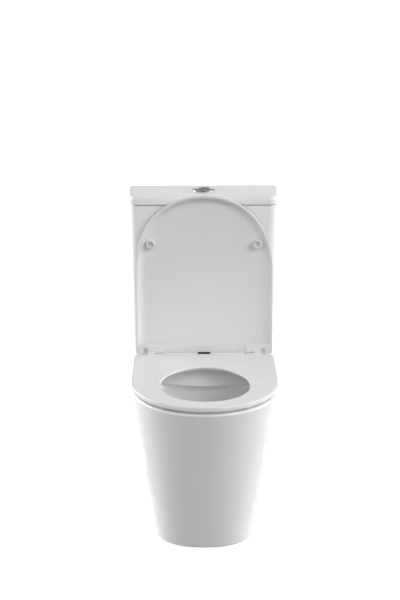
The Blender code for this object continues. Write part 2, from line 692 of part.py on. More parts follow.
def make_tower(plastic):
    """Cage and guide sleeve of the flush valve, with the rocker posts on its head plate."""
    bottom = VALVE_SEAT_Z + GAP
    profile = [(0.030, bottom), (0.033, bottom), (0.033, 0.472), (0.021, 0.480), (0.021, TOWER_TOP_Z),
               (0.018, TOWER_TOP_Z), (0.018, 0.4765), (0.030, 0.4685)]
    tower = turned("flush_valve_tower", profile, (0.0, VALVE_Y), 28)
    cut(tower, box("window_a", (-0.05, VALVE_Y - 0.014, 0.440), (0.05, VALVE_Y + 0.014, 0.462), cutter=True))
    cut(tower, box("window_b", (-0.014, VALVE_Y - 0.05, 0.440), (0.014, VALVE_Y + 0.05, 0.462), cutter=True))
    plate = box("head_plate", (-0.066, VALVE_Y - 0.024, TOWER_TOP_Z - 0.004),
                (0.036, VALVE_Y + 0.024, TOWER_TOP_Z + 0.002), cutter=True)
    join(tower, plate)
    for side in (-1, 1):
        for along in (-1, 1):
            post_y = sorted((VALVE_Y + along * 0.0085, VALVE_Y + along * 0.0125))
            post_x = sorted((side * (PIVOT_X - 0.004), side * (PIVOT_X + 0.004)))
            join(tower, box("rocker_post", (post_x[0], post_y[0], TOWER_TOP_Z - 0.002),
                            (post_x[1], post_y[1], PIVOT_Z + 0.005), cutter=True))
        join(tower, cylinder("rocker_pin", 0.0018, VALVE_Y - 0.0115, VALVE_Y + 0.0115, "Y",
                             (side * PIVOT_X, PIVOT_Z), cutter=True, sides=10))
    cut(tower, cylinder("riser_bore", 0.0186, TOWER_TOP_Z - 0.010, TOWER_TOP_Z + 0.01,
                        at=(0.0, VALVE_Y), cutter=True, sides=28))
    cut(tower, box("link_guide", (-LUG_X[1] - 0.0008, VALVE_Y - 0.0048, TOWER_TOP_Z - 0.02),
                   (-LUG_X[0] + 0.0008, VALVE_Y + 0.0048, TOWER_TOP_Z + 0.02), cutter=True))
    return finish(tower, plastic)


# ------------------------------------------------------------------ fill valve
FILL_HEAD_Z = 0.680
ARM_PIVOT = (FILL_X + 0.012, 0.7185)
ARM_LENGTH = 0.030


def make_fill_valve(plastic, brass, rubber, accent):
    at = (FILL_X, VALVE_Y)
    floor = TANK_BOTTOM_Z + TANK_FLOOR + GAP
    profile = [(0.005, 0.360), (0.0098, 0.360), (0.0098, floor + 0.0035), (0.017, floor + 0.0035),
               (0.017, floor + 0.007), (0.011, floor + 0.010), (0.011, FILL_HEAD_Z),
               (0.005, FILL_HEAD_Z)]
    finish(turned("fill_valve_column", profile, at, 24), plastic)
    finish(washer("fill_valve_washer", 0.0101, 0.017, floor, floor + 0.0032, at), rubber)
    finish(nut("fill_valve_nut", 0.0098, 0.0165, 0.4015, TANK_BOTTOM_Z - GAP, at), brass)
    head = cylinder("fill_valve_head", 0.0205, FILL_HEAD_Z + GAP, 0.712, at=at, sides=24)
    for along in (-1, 1):
        ear_y = sorted((VALVE_Y + along * 0.0045, VALVE_Y + along * 0.008))
        join(head, box("arm_ear", (ARM_PIVOT[0] - 0.004, ear_y[0], 0.708),
                       (ARM_PIVOT[0] + 0.004, ear_y[1], ARM_PIVOT[1] + 0.004), cutter=True))
    join(head, cylinder("arm_pin", 0.0015, VALVE_Y - 0.007, VALVE_Y + 0.007, "Y", ARM_PIVOT,
                        cutter=True, sides=10))
    finish(head, plastic)
    arm = box("fill_valve_arm", (ARM_PIVOT[0] - 0.006, VALVE_Y - 0.0035, ARM_PIVOT[1] - 0.0025),
              (ARM_PIVOT[0] + ARM_LENGTH + 0.004, VALVE_Y + 0.0035, ARM_PIVOT[1] + 0.0025))
    cut(arm, cylinder("arm_bore", 0.0018, VALVE_Y - 0.02, VALVE_Y + 0.02, "Y", ARM_PIVOT,
                      cutter=True, sides=10))
    finish(arm, accent, (ARM_PIVOT[0], VALVE_Y, ARM_PIVOT[1]))
    cup = [(0.0118, 0.585), (0.0118, 0.650), (0.0335, 0.650), (0.0335, 0.585), (0.0305, 0.585),
           (0.0305, 0.646), (0.0150, 0.646), (0.0150, 0.585)]
    float_cup = turned("fill_valve_float", cup, at, 24)
    rod_x = ARM_PIVOT[0] + ARM_LENGTH - 0.0105
    join(float_cup, cylinder("float_rod", 0.0018, 0.648, ARM_PIVOT[1] - 0.0031,
                             at=(rod_x, VALVE_Y), cutter=True, sides=10))
    finish(float_cup, accent, (FILL_X, VALVE_Y, 0.585))


# ------------------------------------------------------------------ cistern coupling
def make_couplings(steel, rubber):
    floor = TANK_BOTTOM_Z + TANK_FLOOR + GAP
    for side, word in ((-1, "left"), (1, "right")):
        at = (side * COUPLING_X, VALVE_Y)
        bolt = cylinder("coupling_bolt_" + word, 0.004, 0.368, floor + 0.006, at=at, sides=12)
        join(bolt, cylinder("bolt_head", 0.009, floor + 0.0033, floor + 0.0085, at=at, cutter=True,
                            sides=12))
        finish(bolt, steel)
        finish(washer("coupling_washer_" + word, 0.0043, 0.0135, floor, floor + 0.003, at, 16), rubber)
        nut = washer("coupling_wingnut_" + word, 0.0043, 0.008, 0.383, DECK_UNDER_Z - GAP, at, 12)
        join(nut, box("wings", (at[0] - 0.013, VALVE_Y - 0.0012, 0.3835),
                      (at[0] - 0.006, VALVE_Y + 0.0012, 0.3915), cutter=True))
        join(nut, box("wings", (at[0] + 0.006, VALVE_Y - 0.0012, 0.3835),
                      (at[0] + 0.013, VALVE_Y + 0.0012, 0.3915), cutter=True))
        finish(nut, steel)


# ------------------------------------------------------------------ seat
def seat_outline(inset=0.0):
    """Seat outline in the hinge frame, where y runs back from the axis."""
    return d_outline(SEAT_HALF_WIDTH - inset, -SEAT_NOSE, -SEAT_FRONT + inset, -SEAT_REAR - inset, 2.1,
                     BACK_CORNER)


def seat_hole(inset=0.0):
    """Egg-shaped opening in the hinge frame."""
    centre = -0.247
    front = power_arc(0.110 - inset, 0.1225 - inset, centre, 2.15, 16, -1)
    rear = power_arc(0.110 - inset, 0.1345 - inset, centre, 1.95, 16, 1)
    return front + list(reversed(rear))[1:-1]


def knuckle_span(knuckle, side):
    return sorted((side * knuckle[0], side * knuckle[1]))


def make_seat(mat, rubber):
    hinge = frame_empty("seat_hinge", (0.0, HINGE_Y, HINGE_Z))
    edges = ((0.003, SEAT_BOTTOM_H), (0.0, SEAT_BOTTOM_H + 0.002), (0.0, SEAT_TOP_H - 0.004),
             (0.0012, SEAT_TOP_H - 0.0012), (0.004, SEAT_TOP_H))
    seat = loft("seat_ring", [at_height(seat_outline(inset), z) for inset, z in edges], hinge)
    edges = ((-0.0090, SEAT_BOTTOM_H - 0.001), (-0.0008, SEAT_TOP_H - 0.0045), (0.0, SEAT_TOP_H - 0.0030),
             (-0.0006, SEAT_TOP_H - 0.0010), (-0.0030, SEAT_TOP_H + 0.0005))
    opening = [at_height(seat_hole(inset), z) for inset, z in edges]
    cut(seat, loft("seat_opening", opening, hinge, cutter=True))
    for side in (-1, 1):
        span = knuckle_span(SEAT_KNUCKLE, side)
        join(seat, box("seat_ear", (span[0] + 0.0002, -0.020, -0.0014),
                       (span[1] - 0.0002, -0.001, 0.0080), hinge, cutter=True))
        join(seat, cylinder("seat_knuckle", KNUCKLE_RADIUS, span[0], span[1], "X", (0.0, 0.0), hinge,
                            cutter=True))
        cut(seat, cylinder("seat_bore", PIN_RADIUS + GAP, span[0] - 0.003, span[1] + 0.003, "X",
                           (0.0, 0.0), hinge, cutter=True))
    finish(seat, mat)
    spots = (("rear_left", -0.155, -0.165), ("rear_right", 0.155, -0.165),
             ("front_left", -0.096, -0.367), ("front_right", 0.096, -0.367))
    bottom = RIM_Z + GAP - HINGE_Z
    for word, x, y in spots:
        pad = box("seat_buffer_" + word, (x - 0.011, y - 0.008, bottom),
                  (x + 0.011, y + 0.008, SEAT_BOTTOM_H - GAP), hinge, bevel=0.0015)
        finish(pad, rubber)


# ------------------------------------------------------------------ lid
LID_REAR = 0.0065                 # back edge of the lid, over the hinge bar
LID_CORNER_REAR = 0.0025          # its two back corners reach further
PEG_X = 0.139
PEG_D = 0.296
CORNER_X = 0.1625                 # inner side of the lid's back corners
BOSS_HANG = 0.0024                # bosses over the knuckles stand proud of the rim


def lid_ring_at(inset, rear, z):
    """Lid outline in the hinge frame."""
    outline = d_outline(LID_HALF_WIDTH - inset, -LID_NOSE, -LID_FRONT + inset, -rear, LID_POWER,
                        BACK_CORNER)
    return at_height(outline, z)


def lid_shell(hinge):
    """Outer skin of the lid, hollowed from below."""
    back = LID_CORNER_REAR
    edges = ((0.002, back, LID_RIM_H), (0.0, back, LID_RIM_H + 0.003), (0.0, back, LID_TOP_H - 0.007),
             (0.002, back, LID_TOP_H - 0.002), (0.008, back + 0.004, LID_TOP_H))
    lid = loft("seat_lid", [lid_ring_at(*edge) for edge in edges], hinge)
    edges = ((0.004, 0.0285, LID_RIM_H - 0.01), (0.004, 0.0285, LID_RIM_H + 0.001),
             (0.014, 0.0310, LID_RIM_H + 0.0065), (0.026, 0.0350, LID_PANEL_H))
    cut(lid, loft("lid_recess", [lid_ring_at(*edge) for edge in edges], hinge, cutter=True))
    return lid


def corner_pocket(side, hinge):
    """Sloping hollow beside a knuckle, deepest next to it."""
    inner = side * (LID_KNUCKLE[1] - 0.0004)
    rings = []
    for reach, front, z in ((1.0, -0.0200, 0.0), (1.0, -0.0200, LID_RIM_H), (0.35, -0.0120, 0.0235)):
        outer = mix(inner, side * CORNER_X, reach)
        rings.append(at_height([(inner, front), (outer, front), (outer, 0.01), (inner, 0.01)], z))
    return loft("corner_pocket", rings, hinge, cutter=True)


def make_lid(mat, rubber):
    hinge = frame_empty("lid_hinge", (0.0, HINGE_Y, HINGE_Z), -LID_LEAN)
    lid = lid_shell(hinge)
    cut(lid, box("bar_clearance", (-LID_KNUCKLE[1], -LID_REAR, 0.0), (LID_KNUCKLE[1], 0.01, 0.04), hinge,
                 cutter=True))
    for side in (-1, 1):
        pocket = sorted((side * (LID_KNUCKLE[1] - 0.0004), side * CORNER_X))
        cut(lid, corner_pocket(side, hinge))
        cut(lid, box("corner_relief", (pocket[0], -LID_REAR - 0.0006, 0.02), (pocket[1], 0.01, 0.04),
                     hinge, cutter=True))
        span = knuckle_span(LID_KNUCKLE, side)
        join(lid, box("lid_arm", (span[0] + 0.0002, -0.0125, 0.0030), (span[1] - 0.0006, -0.0030, 0.0200),
                      hinge, cutter=True))
        join(lid, cylinder("lid_knuckle", KNUCKLE_RADIUS, span[0], span[1], "X", (0.0, 0.0), hinge,
                           cutter=True))
        boss = sorted((side * SEAT_KNUCKLE[0], side * (LID_KNUCKLE[1] - 0.0002)))
        join(lid, box("knuckle_boss", (boss[0], -0.0265, LID_RIM_H - BOSS_HANG),
                      (boss[1], -LID_REAR - 0.0003, 0.0190), hinge, cutter=True, bevel=0.0012))
        cut(lid, cylinder("lid_bore", PIN_RADIUS + GAP, span[0] - 0.003, span[1] + 0.003, "X",
                          (0.0, 0.0), hinge, cutter=True))
        cut(lid, cylinder("peg_pocket", 0.0124, LID_RIM_H - 0.01, LID_PANEL_H + 0.0002,
                          at=(side * PEG_X, -PEG_D), parent=hinge, cutter=True))
    finish(lid, mat)
    for side, word in ((-1, "left"), (1, "right")):
        finish(soft_peg("lid_buffer_" + word, (side * PEG_X, -PEG_D), hinge), rubber)


def soft_peg(name, at, parent):
    """Soft peg with a sunk centre, in the lid's frame."""
    tip = SEAT_TOP_H + GAP
    root = LID_PANEL_H - GAP
    profile = [(0.0120, root), (0.0120, tip + 0.002), (0.0105, tip), (0.0070, tip), (0.0066, tip + 0.004)]
    angles = [2 * math.pi * k / ROUND for k in range(ROUND)]
    rings = []
    for r, z in profile:
        rings.append([(at[0] + r * math.cos(a), at[1] + r * math.sin(a), z) for a in angles])
    return loft(name, rings, parent)


# ------------------------------------------------------------------ hinge bar and fixings
BAR_END = 0.1070
BAR_Z = (0.4157, 0.4312)
LATCH_TIP = 0.0730
LATCH_INNER = 0.016
LATCH_Z = (0.4188, 0.4212)
RELEASE_Z = (0.4300, 0.4336)
RELEASE_Y = (HINGE_Y - 0.0044, HINGE_Y + 0.0016)
RELEASE_HALF = 0.0165
RELEASE_TRAVEL = 0.003
NECK_Z = (0.4182, 0.4218)         # groove of the post that the latch enters
POST_TOP_Z = 0.4268


def make_hinge_bar(mat):
    bar = box("hinge_bar", (-BAR_END, HINGE_Y - 0.0085, BAR_Z[0]), (BAR_END, HINGE_Y + 0.0085, BAR_Z[1]),
              bevel=0.0065, along=0)
    cut(bar, box("latch_channel", (-0.074, HINGE_Y - 0.0042, 0.41), (0.074, HINGE_Y + 0.0055, 0.4236),
                 cutter=True))
    pocket = RELEASE_HALF + 0.0004
    cut(bar, box("release_pocket", (-pocket, HINGE_Y - 0.02, RELEASE_Z[0] - 0.0004),
                 (pocket, RELEASE_Y[1] + RELEASE_TRAVEL + 0.0006, 0.44), cutter=True))
    cut(bar, box("tongue_slot", (-0.0086, HINGE_Y - 0.0042, 0.4230),
                 (0.0086, HINGE_Y + 0.0055, RELEASE_Z[0] + 0.0002), cutter=True))
    for side in (-1, 1):
        cut(bar, cylinder("post_socket", 0.0064, 0.41, POST_TOP_Z + 0.0004, at=(side * POST_X, HINGE_Y),
                          cutter=True, sides=16))
        span = sorted((side * 0.096, side * 0.12))
        cut(bar, cylinder("bar_bore", PIN_RADIUS + GAP, span[0], span[1], "X", (HINGE_Y, HINGE_Z),
                          cutter=True))
    return finish(bar, mat)


def make_release(dark, steel):
    key = box("release_button", (-RELEASE_HALF, RELEASE_Y[0], RELEASE_Z[0]),
              (RELEASE_HALF, RELEASE_Y[1], RELEASE_Z[1]), bevel=0.0012, along=0)
    join(key, box("release_tongue", (-0.008, HINGE_Y - 0.0036, LATCH_Z[0] - 0.0003),
                  (0.008, HINGE_Y + 0.0008, RELEASE_Z[0] + 0.0015), cutter=True))
    finish(key, dark, (0.0, RELEASE_Y[0], HINGE_Z))
    for side, word in ((-1, "left"), (1, "right")):
        low_x, high_x = sorted((side * LATCH_INNER, side * LATCH_TIP))
        latch = box("release_latch_" + word, (low_x, HINGE_Y - 0.0034, LATCH_Z[0]),
                    (high_x, HINGE_Y + 0.0034, LATCH_Z[1]))
        finish(latch, steel, (side * LATCH_TIP, HINGE_Y, LATCH_Z[0]))


def make_hinge_fixings(steel, rubber, plastic, damper_mat):
    for side, word in ((-1, "left"), (1, "right")):
        at = (side * POST_X, HINGE_Y)
        post = cylinder("hinge_post_" + word, 0.0038, 0.366, 0.4165, at=at, sides=16)
        join(post, cylinder("post_lower", 0.0060, 0.4153, NECK_Z[0], at=at, cutter=True, sides=16))
        join(post, cylinder("post_neck", 0.0042, 0.4170, 0.4235, at=at, cutter=True, sides=16))
        join(post, cylinder("post_head", 0.0060, NECK_Z[1], POST_TOP_Z, at=at, cutter=True, sides=16,
                            end_radius=0.0046))
        finish(post, steel)
        finish(washer("hinge_base_disc_" + word, 0.0042, 0.0205, RIM_Z + GAP, 0.4150, at, 24), steel)
        finish(washer("hinge_rubber_washer_" + word, 0.0042, 0.0150, 0.3897, DECK_UNDER_Z - GAP, at), rubber)
        finish(nut("hinge_nut_" + word, 0.0038, 0.0120, 0.3790, 0.3894, at), plastic)
        span = sorted((side * 0.0965, side * 0.1480))
        finish(cylinder("hinge_damper_" + word, PIN_RADIUS, span[0], span[1], "X", (HINGE_Y, HINGE_Z)),
               damper_mat)


# ------------------------------------------------------------------ build
clear_scene()
PARTS = new_collection("close_coupled_toilet")
CUTTERS = new_collection("cutters")


def main():
    ceramic = new_material("glazed ceramic", (0.86, 0.86, 0.85), 0.12)
    seat_white = new_material("white seat plastic", (0.88, 0.88, 0.87), 0.22)
    white_plastic = new_material("white valve plastic", (0.80, 0.80, 0.78), 0.45)
    blue_plastic = new_material("grey blue valve plastic", (0.28, 0.40, 0.52), 0.45)
    soft = new_material("white rubber", (0.82, 0.82, 0.80), 0.55)
    black_rubber = new_material("black rubber", (0.03, 0.03, 0.03), 0.70)
    black = new_material("black plastic", (0.02, 0.02, 0.02), 0.35)
    chrome = new_material("chrome", (0.62, 0.62, 0.63), 0.08, 1.0)
    steel = new_material("stainless steel", (0.58, 0.58, 0.57), 0.28, 1.0)
    brass = new_material("brass", (0.70, 0.52, 0.24), 0.30, 1.0)
    make_skirt(ceramic)
    make_bowl(ceramic)
    make_flush_duct(ceramic)
    make_trapway(ceramic)
    make_outlet(ceramic)
    make_floor_fixings(white_plastic, steel, chrome)
    make_tank(ceramic)
    make_cistern_lid(ceramic)
    make_buttons(chrome, white_plastic)
    make_flush_valve(white_plastic, black_rubber, blue_plastic)
    make_fill_valve(white_plastic, brass, black_rubber, blue_plastic)
    make_couplings(steel, black_rubber)
    make_seat(seat_white, soft)
    make_lid(seat_white, soft)
    make_hinge_bar(seat_white)
    make_release(black, steel)
    make_hinge_fixings(steel, black_rubber, white_plastic, black)


main()
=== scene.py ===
"""Looks of the close coupled toilet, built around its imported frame.

Metres, +Z up, front towards -Y. The seat and the lid are modelled in their hinge frames, where y runs
back from the hinge axis and z is the height above it.
"""

import json
import math

import bmesh
import bpy
from mathutils import Matrix, Vector

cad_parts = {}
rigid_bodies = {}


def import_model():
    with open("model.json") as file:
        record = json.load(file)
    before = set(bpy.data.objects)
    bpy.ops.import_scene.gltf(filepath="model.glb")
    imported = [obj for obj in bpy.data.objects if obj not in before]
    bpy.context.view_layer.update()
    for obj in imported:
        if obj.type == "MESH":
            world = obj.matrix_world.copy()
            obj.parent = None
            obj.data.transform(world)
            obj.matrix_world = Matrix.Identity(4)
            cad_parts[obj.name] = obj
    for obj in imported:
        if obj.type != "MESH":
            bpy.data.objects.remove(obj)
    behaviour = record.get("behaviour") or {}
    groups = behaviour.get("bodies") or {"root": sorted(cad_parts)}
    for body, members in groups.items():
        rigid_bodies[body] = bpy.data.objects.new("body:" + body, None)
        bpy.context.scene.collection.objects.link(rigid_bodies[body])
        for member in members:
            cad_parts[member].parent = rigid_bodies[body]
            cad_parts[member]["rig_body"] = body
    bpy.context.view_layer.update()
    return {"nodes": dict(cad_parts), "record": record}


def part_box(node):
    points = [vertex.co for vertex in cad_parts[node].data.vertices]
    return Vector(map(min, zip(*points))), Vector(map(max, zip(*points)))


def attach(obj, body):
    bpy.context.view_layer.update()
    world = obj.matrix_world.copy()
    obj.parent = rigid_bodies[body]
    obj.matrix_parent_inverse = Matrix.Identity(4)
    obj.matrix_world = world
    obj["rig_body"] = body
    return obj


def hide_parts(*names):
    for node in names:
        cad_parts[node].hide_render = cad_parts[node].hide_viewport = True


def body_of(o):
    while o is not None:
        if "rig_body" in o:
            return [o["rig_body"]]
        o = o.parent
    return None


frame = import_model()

# ------------------------------------------------------------------ dimensions shared with the frame
WALL_Y = 0.320
RIM_Z = 0.411
WALL = 0.011
GAP = 0.0003  # between pieces that touch
DECK_UNDER_Z = 0.393
VALVE_Y = 0.243
FILL_X = -0.120
COUPLING_X = 0.075
HINGE = Vector((0.0, 0.100, 0.421))
LID_LEAN = math.radians(94.3)
POST_X = 0.0775
SEAT_KNUCKLE = (0.1085, 0.128)
LID_KNUCKLE = (0.129, 0.149)
KNUCKLE_RADIUS = 0.0085
PIN_BORE = 0.0041
TANK_BOTTOM_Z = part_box("tank")[0].z
TANK_TOP_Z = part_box("tank")[1].z
COVER_TOP_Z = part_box("cistern_lid")[1].z
OUTLET_Z = 0.180
OUTLET_RADIUS = 0.051


# ------------------------------------------------------------------ mesh helpers
def mix(a, b, t):
    return a + (b - a) * t


def link(name, bm, place=None):
    """A mesh object from a bmesh, with outward faces."""
    bmesh.ops.recalc_face_normals(bm, faces=bm.faces)
    if place is not None:
        bm.transform(place)
    mesh = bpy.data.meshes.new(name)
    bm.to_mesh(mesh)
    bm.free()
    obj = bpy.data.objects.new(name, mesh)
    bpy.context.scene.collection.objects.link(obj)
    return obj


def skin(name, rings, place=None, closed=False):
    """Surface through rings of equal point counts; a ring of one point is a pole."""
    bm = bmesh.new()
    rows = [[bm.verts.new(point) for point in ring] for ring in rings]
    count = max(len(row) for row in rows)
    pairs = list(zip(rows, rows[1:]))
    if closed:
        pairs.append((rows[-1], rows[0]))
    for a, b in pairs:
        for i in range(count):
            j = (i + 1) % count
            if len(a) == 1:
                bm.faces.new((a[0], b[j], b[i]))
            elif len(b) == 1:
                bm.faces.new((a[i], a[j], b[0]))
            else:
                bm.faces.new((a[i], a[j], b[j], b[i]))
    if not closed:
        for row in (rows[0], rows[-1]):
            if len(row) > 1:
                bm.faces.new(row)
    return link(name, bm, place)


def rounded(points, radius, steps=5, closed=True):
    """The polygon with each corner turned into a short curve."""
    result = []
    count = len(points)
    for i, corner in enumerate(points):
        if not closed and i in (0, count - 1):
            result.append(corner)
            continue
        here = Vector(corner)
        before = Vector(points[i - 1]) - here
        after = Vector(points[(i + 1) % count]) - here
        reach = min(radius, before.length * 0.48, after.length * 0.48)
        start = here + before.normalized() * reach
        end = here + after.normalized() * reach
        for k in range(steps + 1):
            t = k / steps
            result.append(tuple(start * (1 - t) ** 2 + here * 2 * t * (1 - t) + end * t * t))
    return result


AXIS_TURN = {
    "X": Matrix.Rotation(math.pi / 2, 4, "Y"),
    "Y": Matrix.Rotation(-math.pi / 2, 4, "X"),
    "Z": Matrix.Identity(4),
}


def lathe(name, profile, centre=(0.0, 0.0, 0.0), axis="Z", sides=64, radius=0.0004, steps=4, place=None):
    """Turned solid from a profile of (radius, distance along the axis); it may start and end on the axis."""
    on_axis = profile[0][0] == 0
    line = rounded(profile, radius, steps, closed=not on_axis)
    rings = []
    for r, z in line:
        if r < 1e-7:
            rings.append([(0.0, 0.0, z)])
        else:
            angles = [2 * math.pi * k / sides for k in range(sides)]
            rings.append([(r * math.cos(a), r * math.sin(a), z) for a in angles])
    turn = Matrix.Translation(Vector(centre)) @ AXIS_TURN[axis]
    if place is not None:
        turn = place @ turn
    return skin(name, rings, turn, closed=not on_axis)


def rod(name, radius, start, end, centre, axis="Z", edge=0.0004, sides=48, place=None):
    profile = [(0, start), (radius, start), (radius, end), (0, end)]
    return lathe(name, profile, centre, axis, sides, edge, 3, place)


def block(name, low, high, edge=0.0006, steps=3, place=None, along=None):
    """Box between two corners with rounded edges, or rounded only along one axis."""
    bm = bmesh.new()
    bmesh.ops.create_cube(bm, size=1.0)
    low = Vector(low)
    high = Vector(high)
    bmesh.ops.scale(bm, vec=high - low, verts=bm.verts)
    bmesh.ops.translate(bm, vec=(low + high) / 2, verts=bm.verts)
    edges = bm.edges[:]
    if along is not None:
        edges = [e for e in edges if abs((e.verts[0].co - e.verts[1].co)[along]) > 1e-6]
    if edge:
        bmesh.ops.bevel(bm, geom=edges, offset=edge, segments=steps, profile=0.5, affect="EDGES")
    return link(name, bm, place)


def smooth(rows, steps):
    """Curve through all rows but the first and the last, which only steer its ends."""
    result = []
    for a, b, c, d in zip(rows, rows[1:], rows[2:], rows[3:]):
        for k in range(steps):
            t = k / steps
            result.append(tuple(0.5 * (2 * q + (r - p) * t + (2 * p - 5 * q + 4 * r - s) * t * t
                                       + (3 * q - p - 3 * r + s) * t ** 3)
                                for p, q, r, s in zip(a, b, c, d)))
    result.append(tuple(rows[-2]))
    return result


def dense(rows, steps):
    """Smooth curve through all rows of a table."""
    return smooth([rows[0], *rows, rows[-1]], steps)


def pipe(name, points, radius, steps=8, sides=64):
    """Round bar along a smooth route, capped at both ends."""
    spots = [Vector(p) for p in points]
    before = 2 * spots[0] - spots[1]
    after = 2 * spots[-1] - spots[-2]
    route = [Vector(p) for p in smooth([before, *spots, after], steps)]
    rings = []
    for i, spot in enumerate(route):
        ahead = route[min(i + 1, len(route) - 1)] - route[max(i - 1, 0)]
        ahead.normalize()
        side = Vector((1, 0, 0))
        up = side.cross(ahead)
        ring = []
        for k in range(sides):
            a = 2 * math.pi * k / sides
            ring.append(spot + side * (radius * math.cos(a)) + up * (radius * math.sin(a)))
        rings.append(ring)
    return skin(name, rings)


def freeze(obj):
    """Apply an object's modifiers to its mesh."""
    evaluated = obj.evaluated_get(bpy.context.evaluated_depsgraph_get())
    mesh = bpy.data.meshes.new_from_object(evaluated)
    obj.modifiers.clear()
    obj.data = mesh
    return obj


def combine(obj, others, operation):
    """Boolean with each of the others in turn; they are used up."""
    for other in others:
        mod = obj.modifiers.new("shape", "BOOLEAN")
        mod.operation = operation
        mod.solver = "EXACT"
        mod.object = other
    bpy.context.view_layer.update()
    freeze(obj)
    for other in others:
        bpy.data.objects.remove(other, do_unlink=True)
    return obj


def cut(obj, *others):
    return combine(obj, others, "DIFFERENCE")


def join(obj, *others):
    return combine(obj, others, "UNION")


def soften(obj, width, segments=2, angle=35.0):
    """Round the sharp edges that cuts have left."""
    mod = obj.modifiers.new("edges", "BEVEL")
    mod.width = width
    mod.segments = segments
    mod.limit_method = "ANGLE"
    mod.angle_limit = math.radians(angle)
    mod.harden_normals = False
    return freeze(obj)


def done(obj, mat, body, slot, *nodes, angle=32.0):
    """Finish a piece: material, shading, its body, and the frame nodes it stands for."""
    mesh = obj.data
    mesh.materials.clear()
    mesh.materials.append(mat)
    mesh.polygons.foreach_set("material_index", [0] * len(mesh.polygons))
    mesh.shade_smooth()
    mesh.set_sharp_from_angle(angle=math.radians(angle))
    mod = obj.modifiers.new("normals", "WEIGHTED_NORMAL")
    mod.keep_sharp = True
    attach(obj, body)
    if nodes:
        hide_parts(*nodes)
    return obj


# ------------------------------------------------------------------ outlines
def power_arc(half, depth, centre, power, steps, sign):
    """Half of a superellipse from +x to -x, bulging towards sign * y."""
    arc = []
    for k in range(steps + 1):
        a = math.pi * k / steps
        c = math.cos(a)
        x = half * math.copysign(abs(c) ** (2 / power), c)
        arc.append((x, centre + sign * depth * max(math.sin(a), 0.0) ** (2 / power)))
    return arc


def oval_reach(a, half, depth, power):
    """Distance from the centre of a superellipse to its edge in direction a."""
    return (abs(math.cos(a) / half) ** power + abs(math.sin(a) / depth) ** power) ** (-1 / power)


def along_line(start, end, steps):
    """Points between two ends, without them."""
    return [(mix(start[0], end[0], k / steps), mix(start[1], end[1], k / steps)) for k in range(1, steps)]


def d_outline(half, nose, front, rear, power, corner, arc_steps=72, side_steps=24, back_steps=28):
    """Round front, straight sides and a straight back with rounded corners."""
    outline = power_arc(half, nose - front, nose, power, arc_steps, -1)
    turn = [math.radians(18 * k) for k in range(6)]
    left = [(-half + corner - corner * math.cos(a), rear - corner + corner * math.sin(a)) for a in turn]
    right = [(-x, y) for x, y in reversed(left)]
    outline += along_line((-half, nose), left[0], side_steps)
    outline += left
    outline += along_line(left[-1], right[0], back_steps)
    outline += right
    outline += along_line(right[-1], (half, nose), side_steps)
    return outline


def box_outline(half, front, rear, front_corner, rear_corner, steps=10):
    corners = [
        (half - front_corner, front + front_corner, front_corner, 0),
        (-half + front_corner, front + front_corner, front_corner, 90),
        (-half + rear_corner, rear - rear_corner, rear_corner, 180),
        (half - rear_corner, rear - rear_corner, rear_corner, 270),
    ]
    outline = []
    for cx, cy, radius, begin in corners:
        for k in range(steps + 1):
            a = math.radians(begin + 90 * k / steps)
            outline.append((cx + radius * math.cos(a), cy - radius * math.sin(a)))
    return outline


def at(outline, z):
    return [(x, y, z) for x, y in outline]


def edge_steps(radius, steps=6):
    """(inset, drop) pairs of a quarter round from the side to the top."""
    pairs = []
    for k in range(steps + 1):
        a = math.pi / 2 * k / steps
        pairs.append((radius * (1 - math.cos(a)), radius * (1 - math.sin(a))))
    return pairs


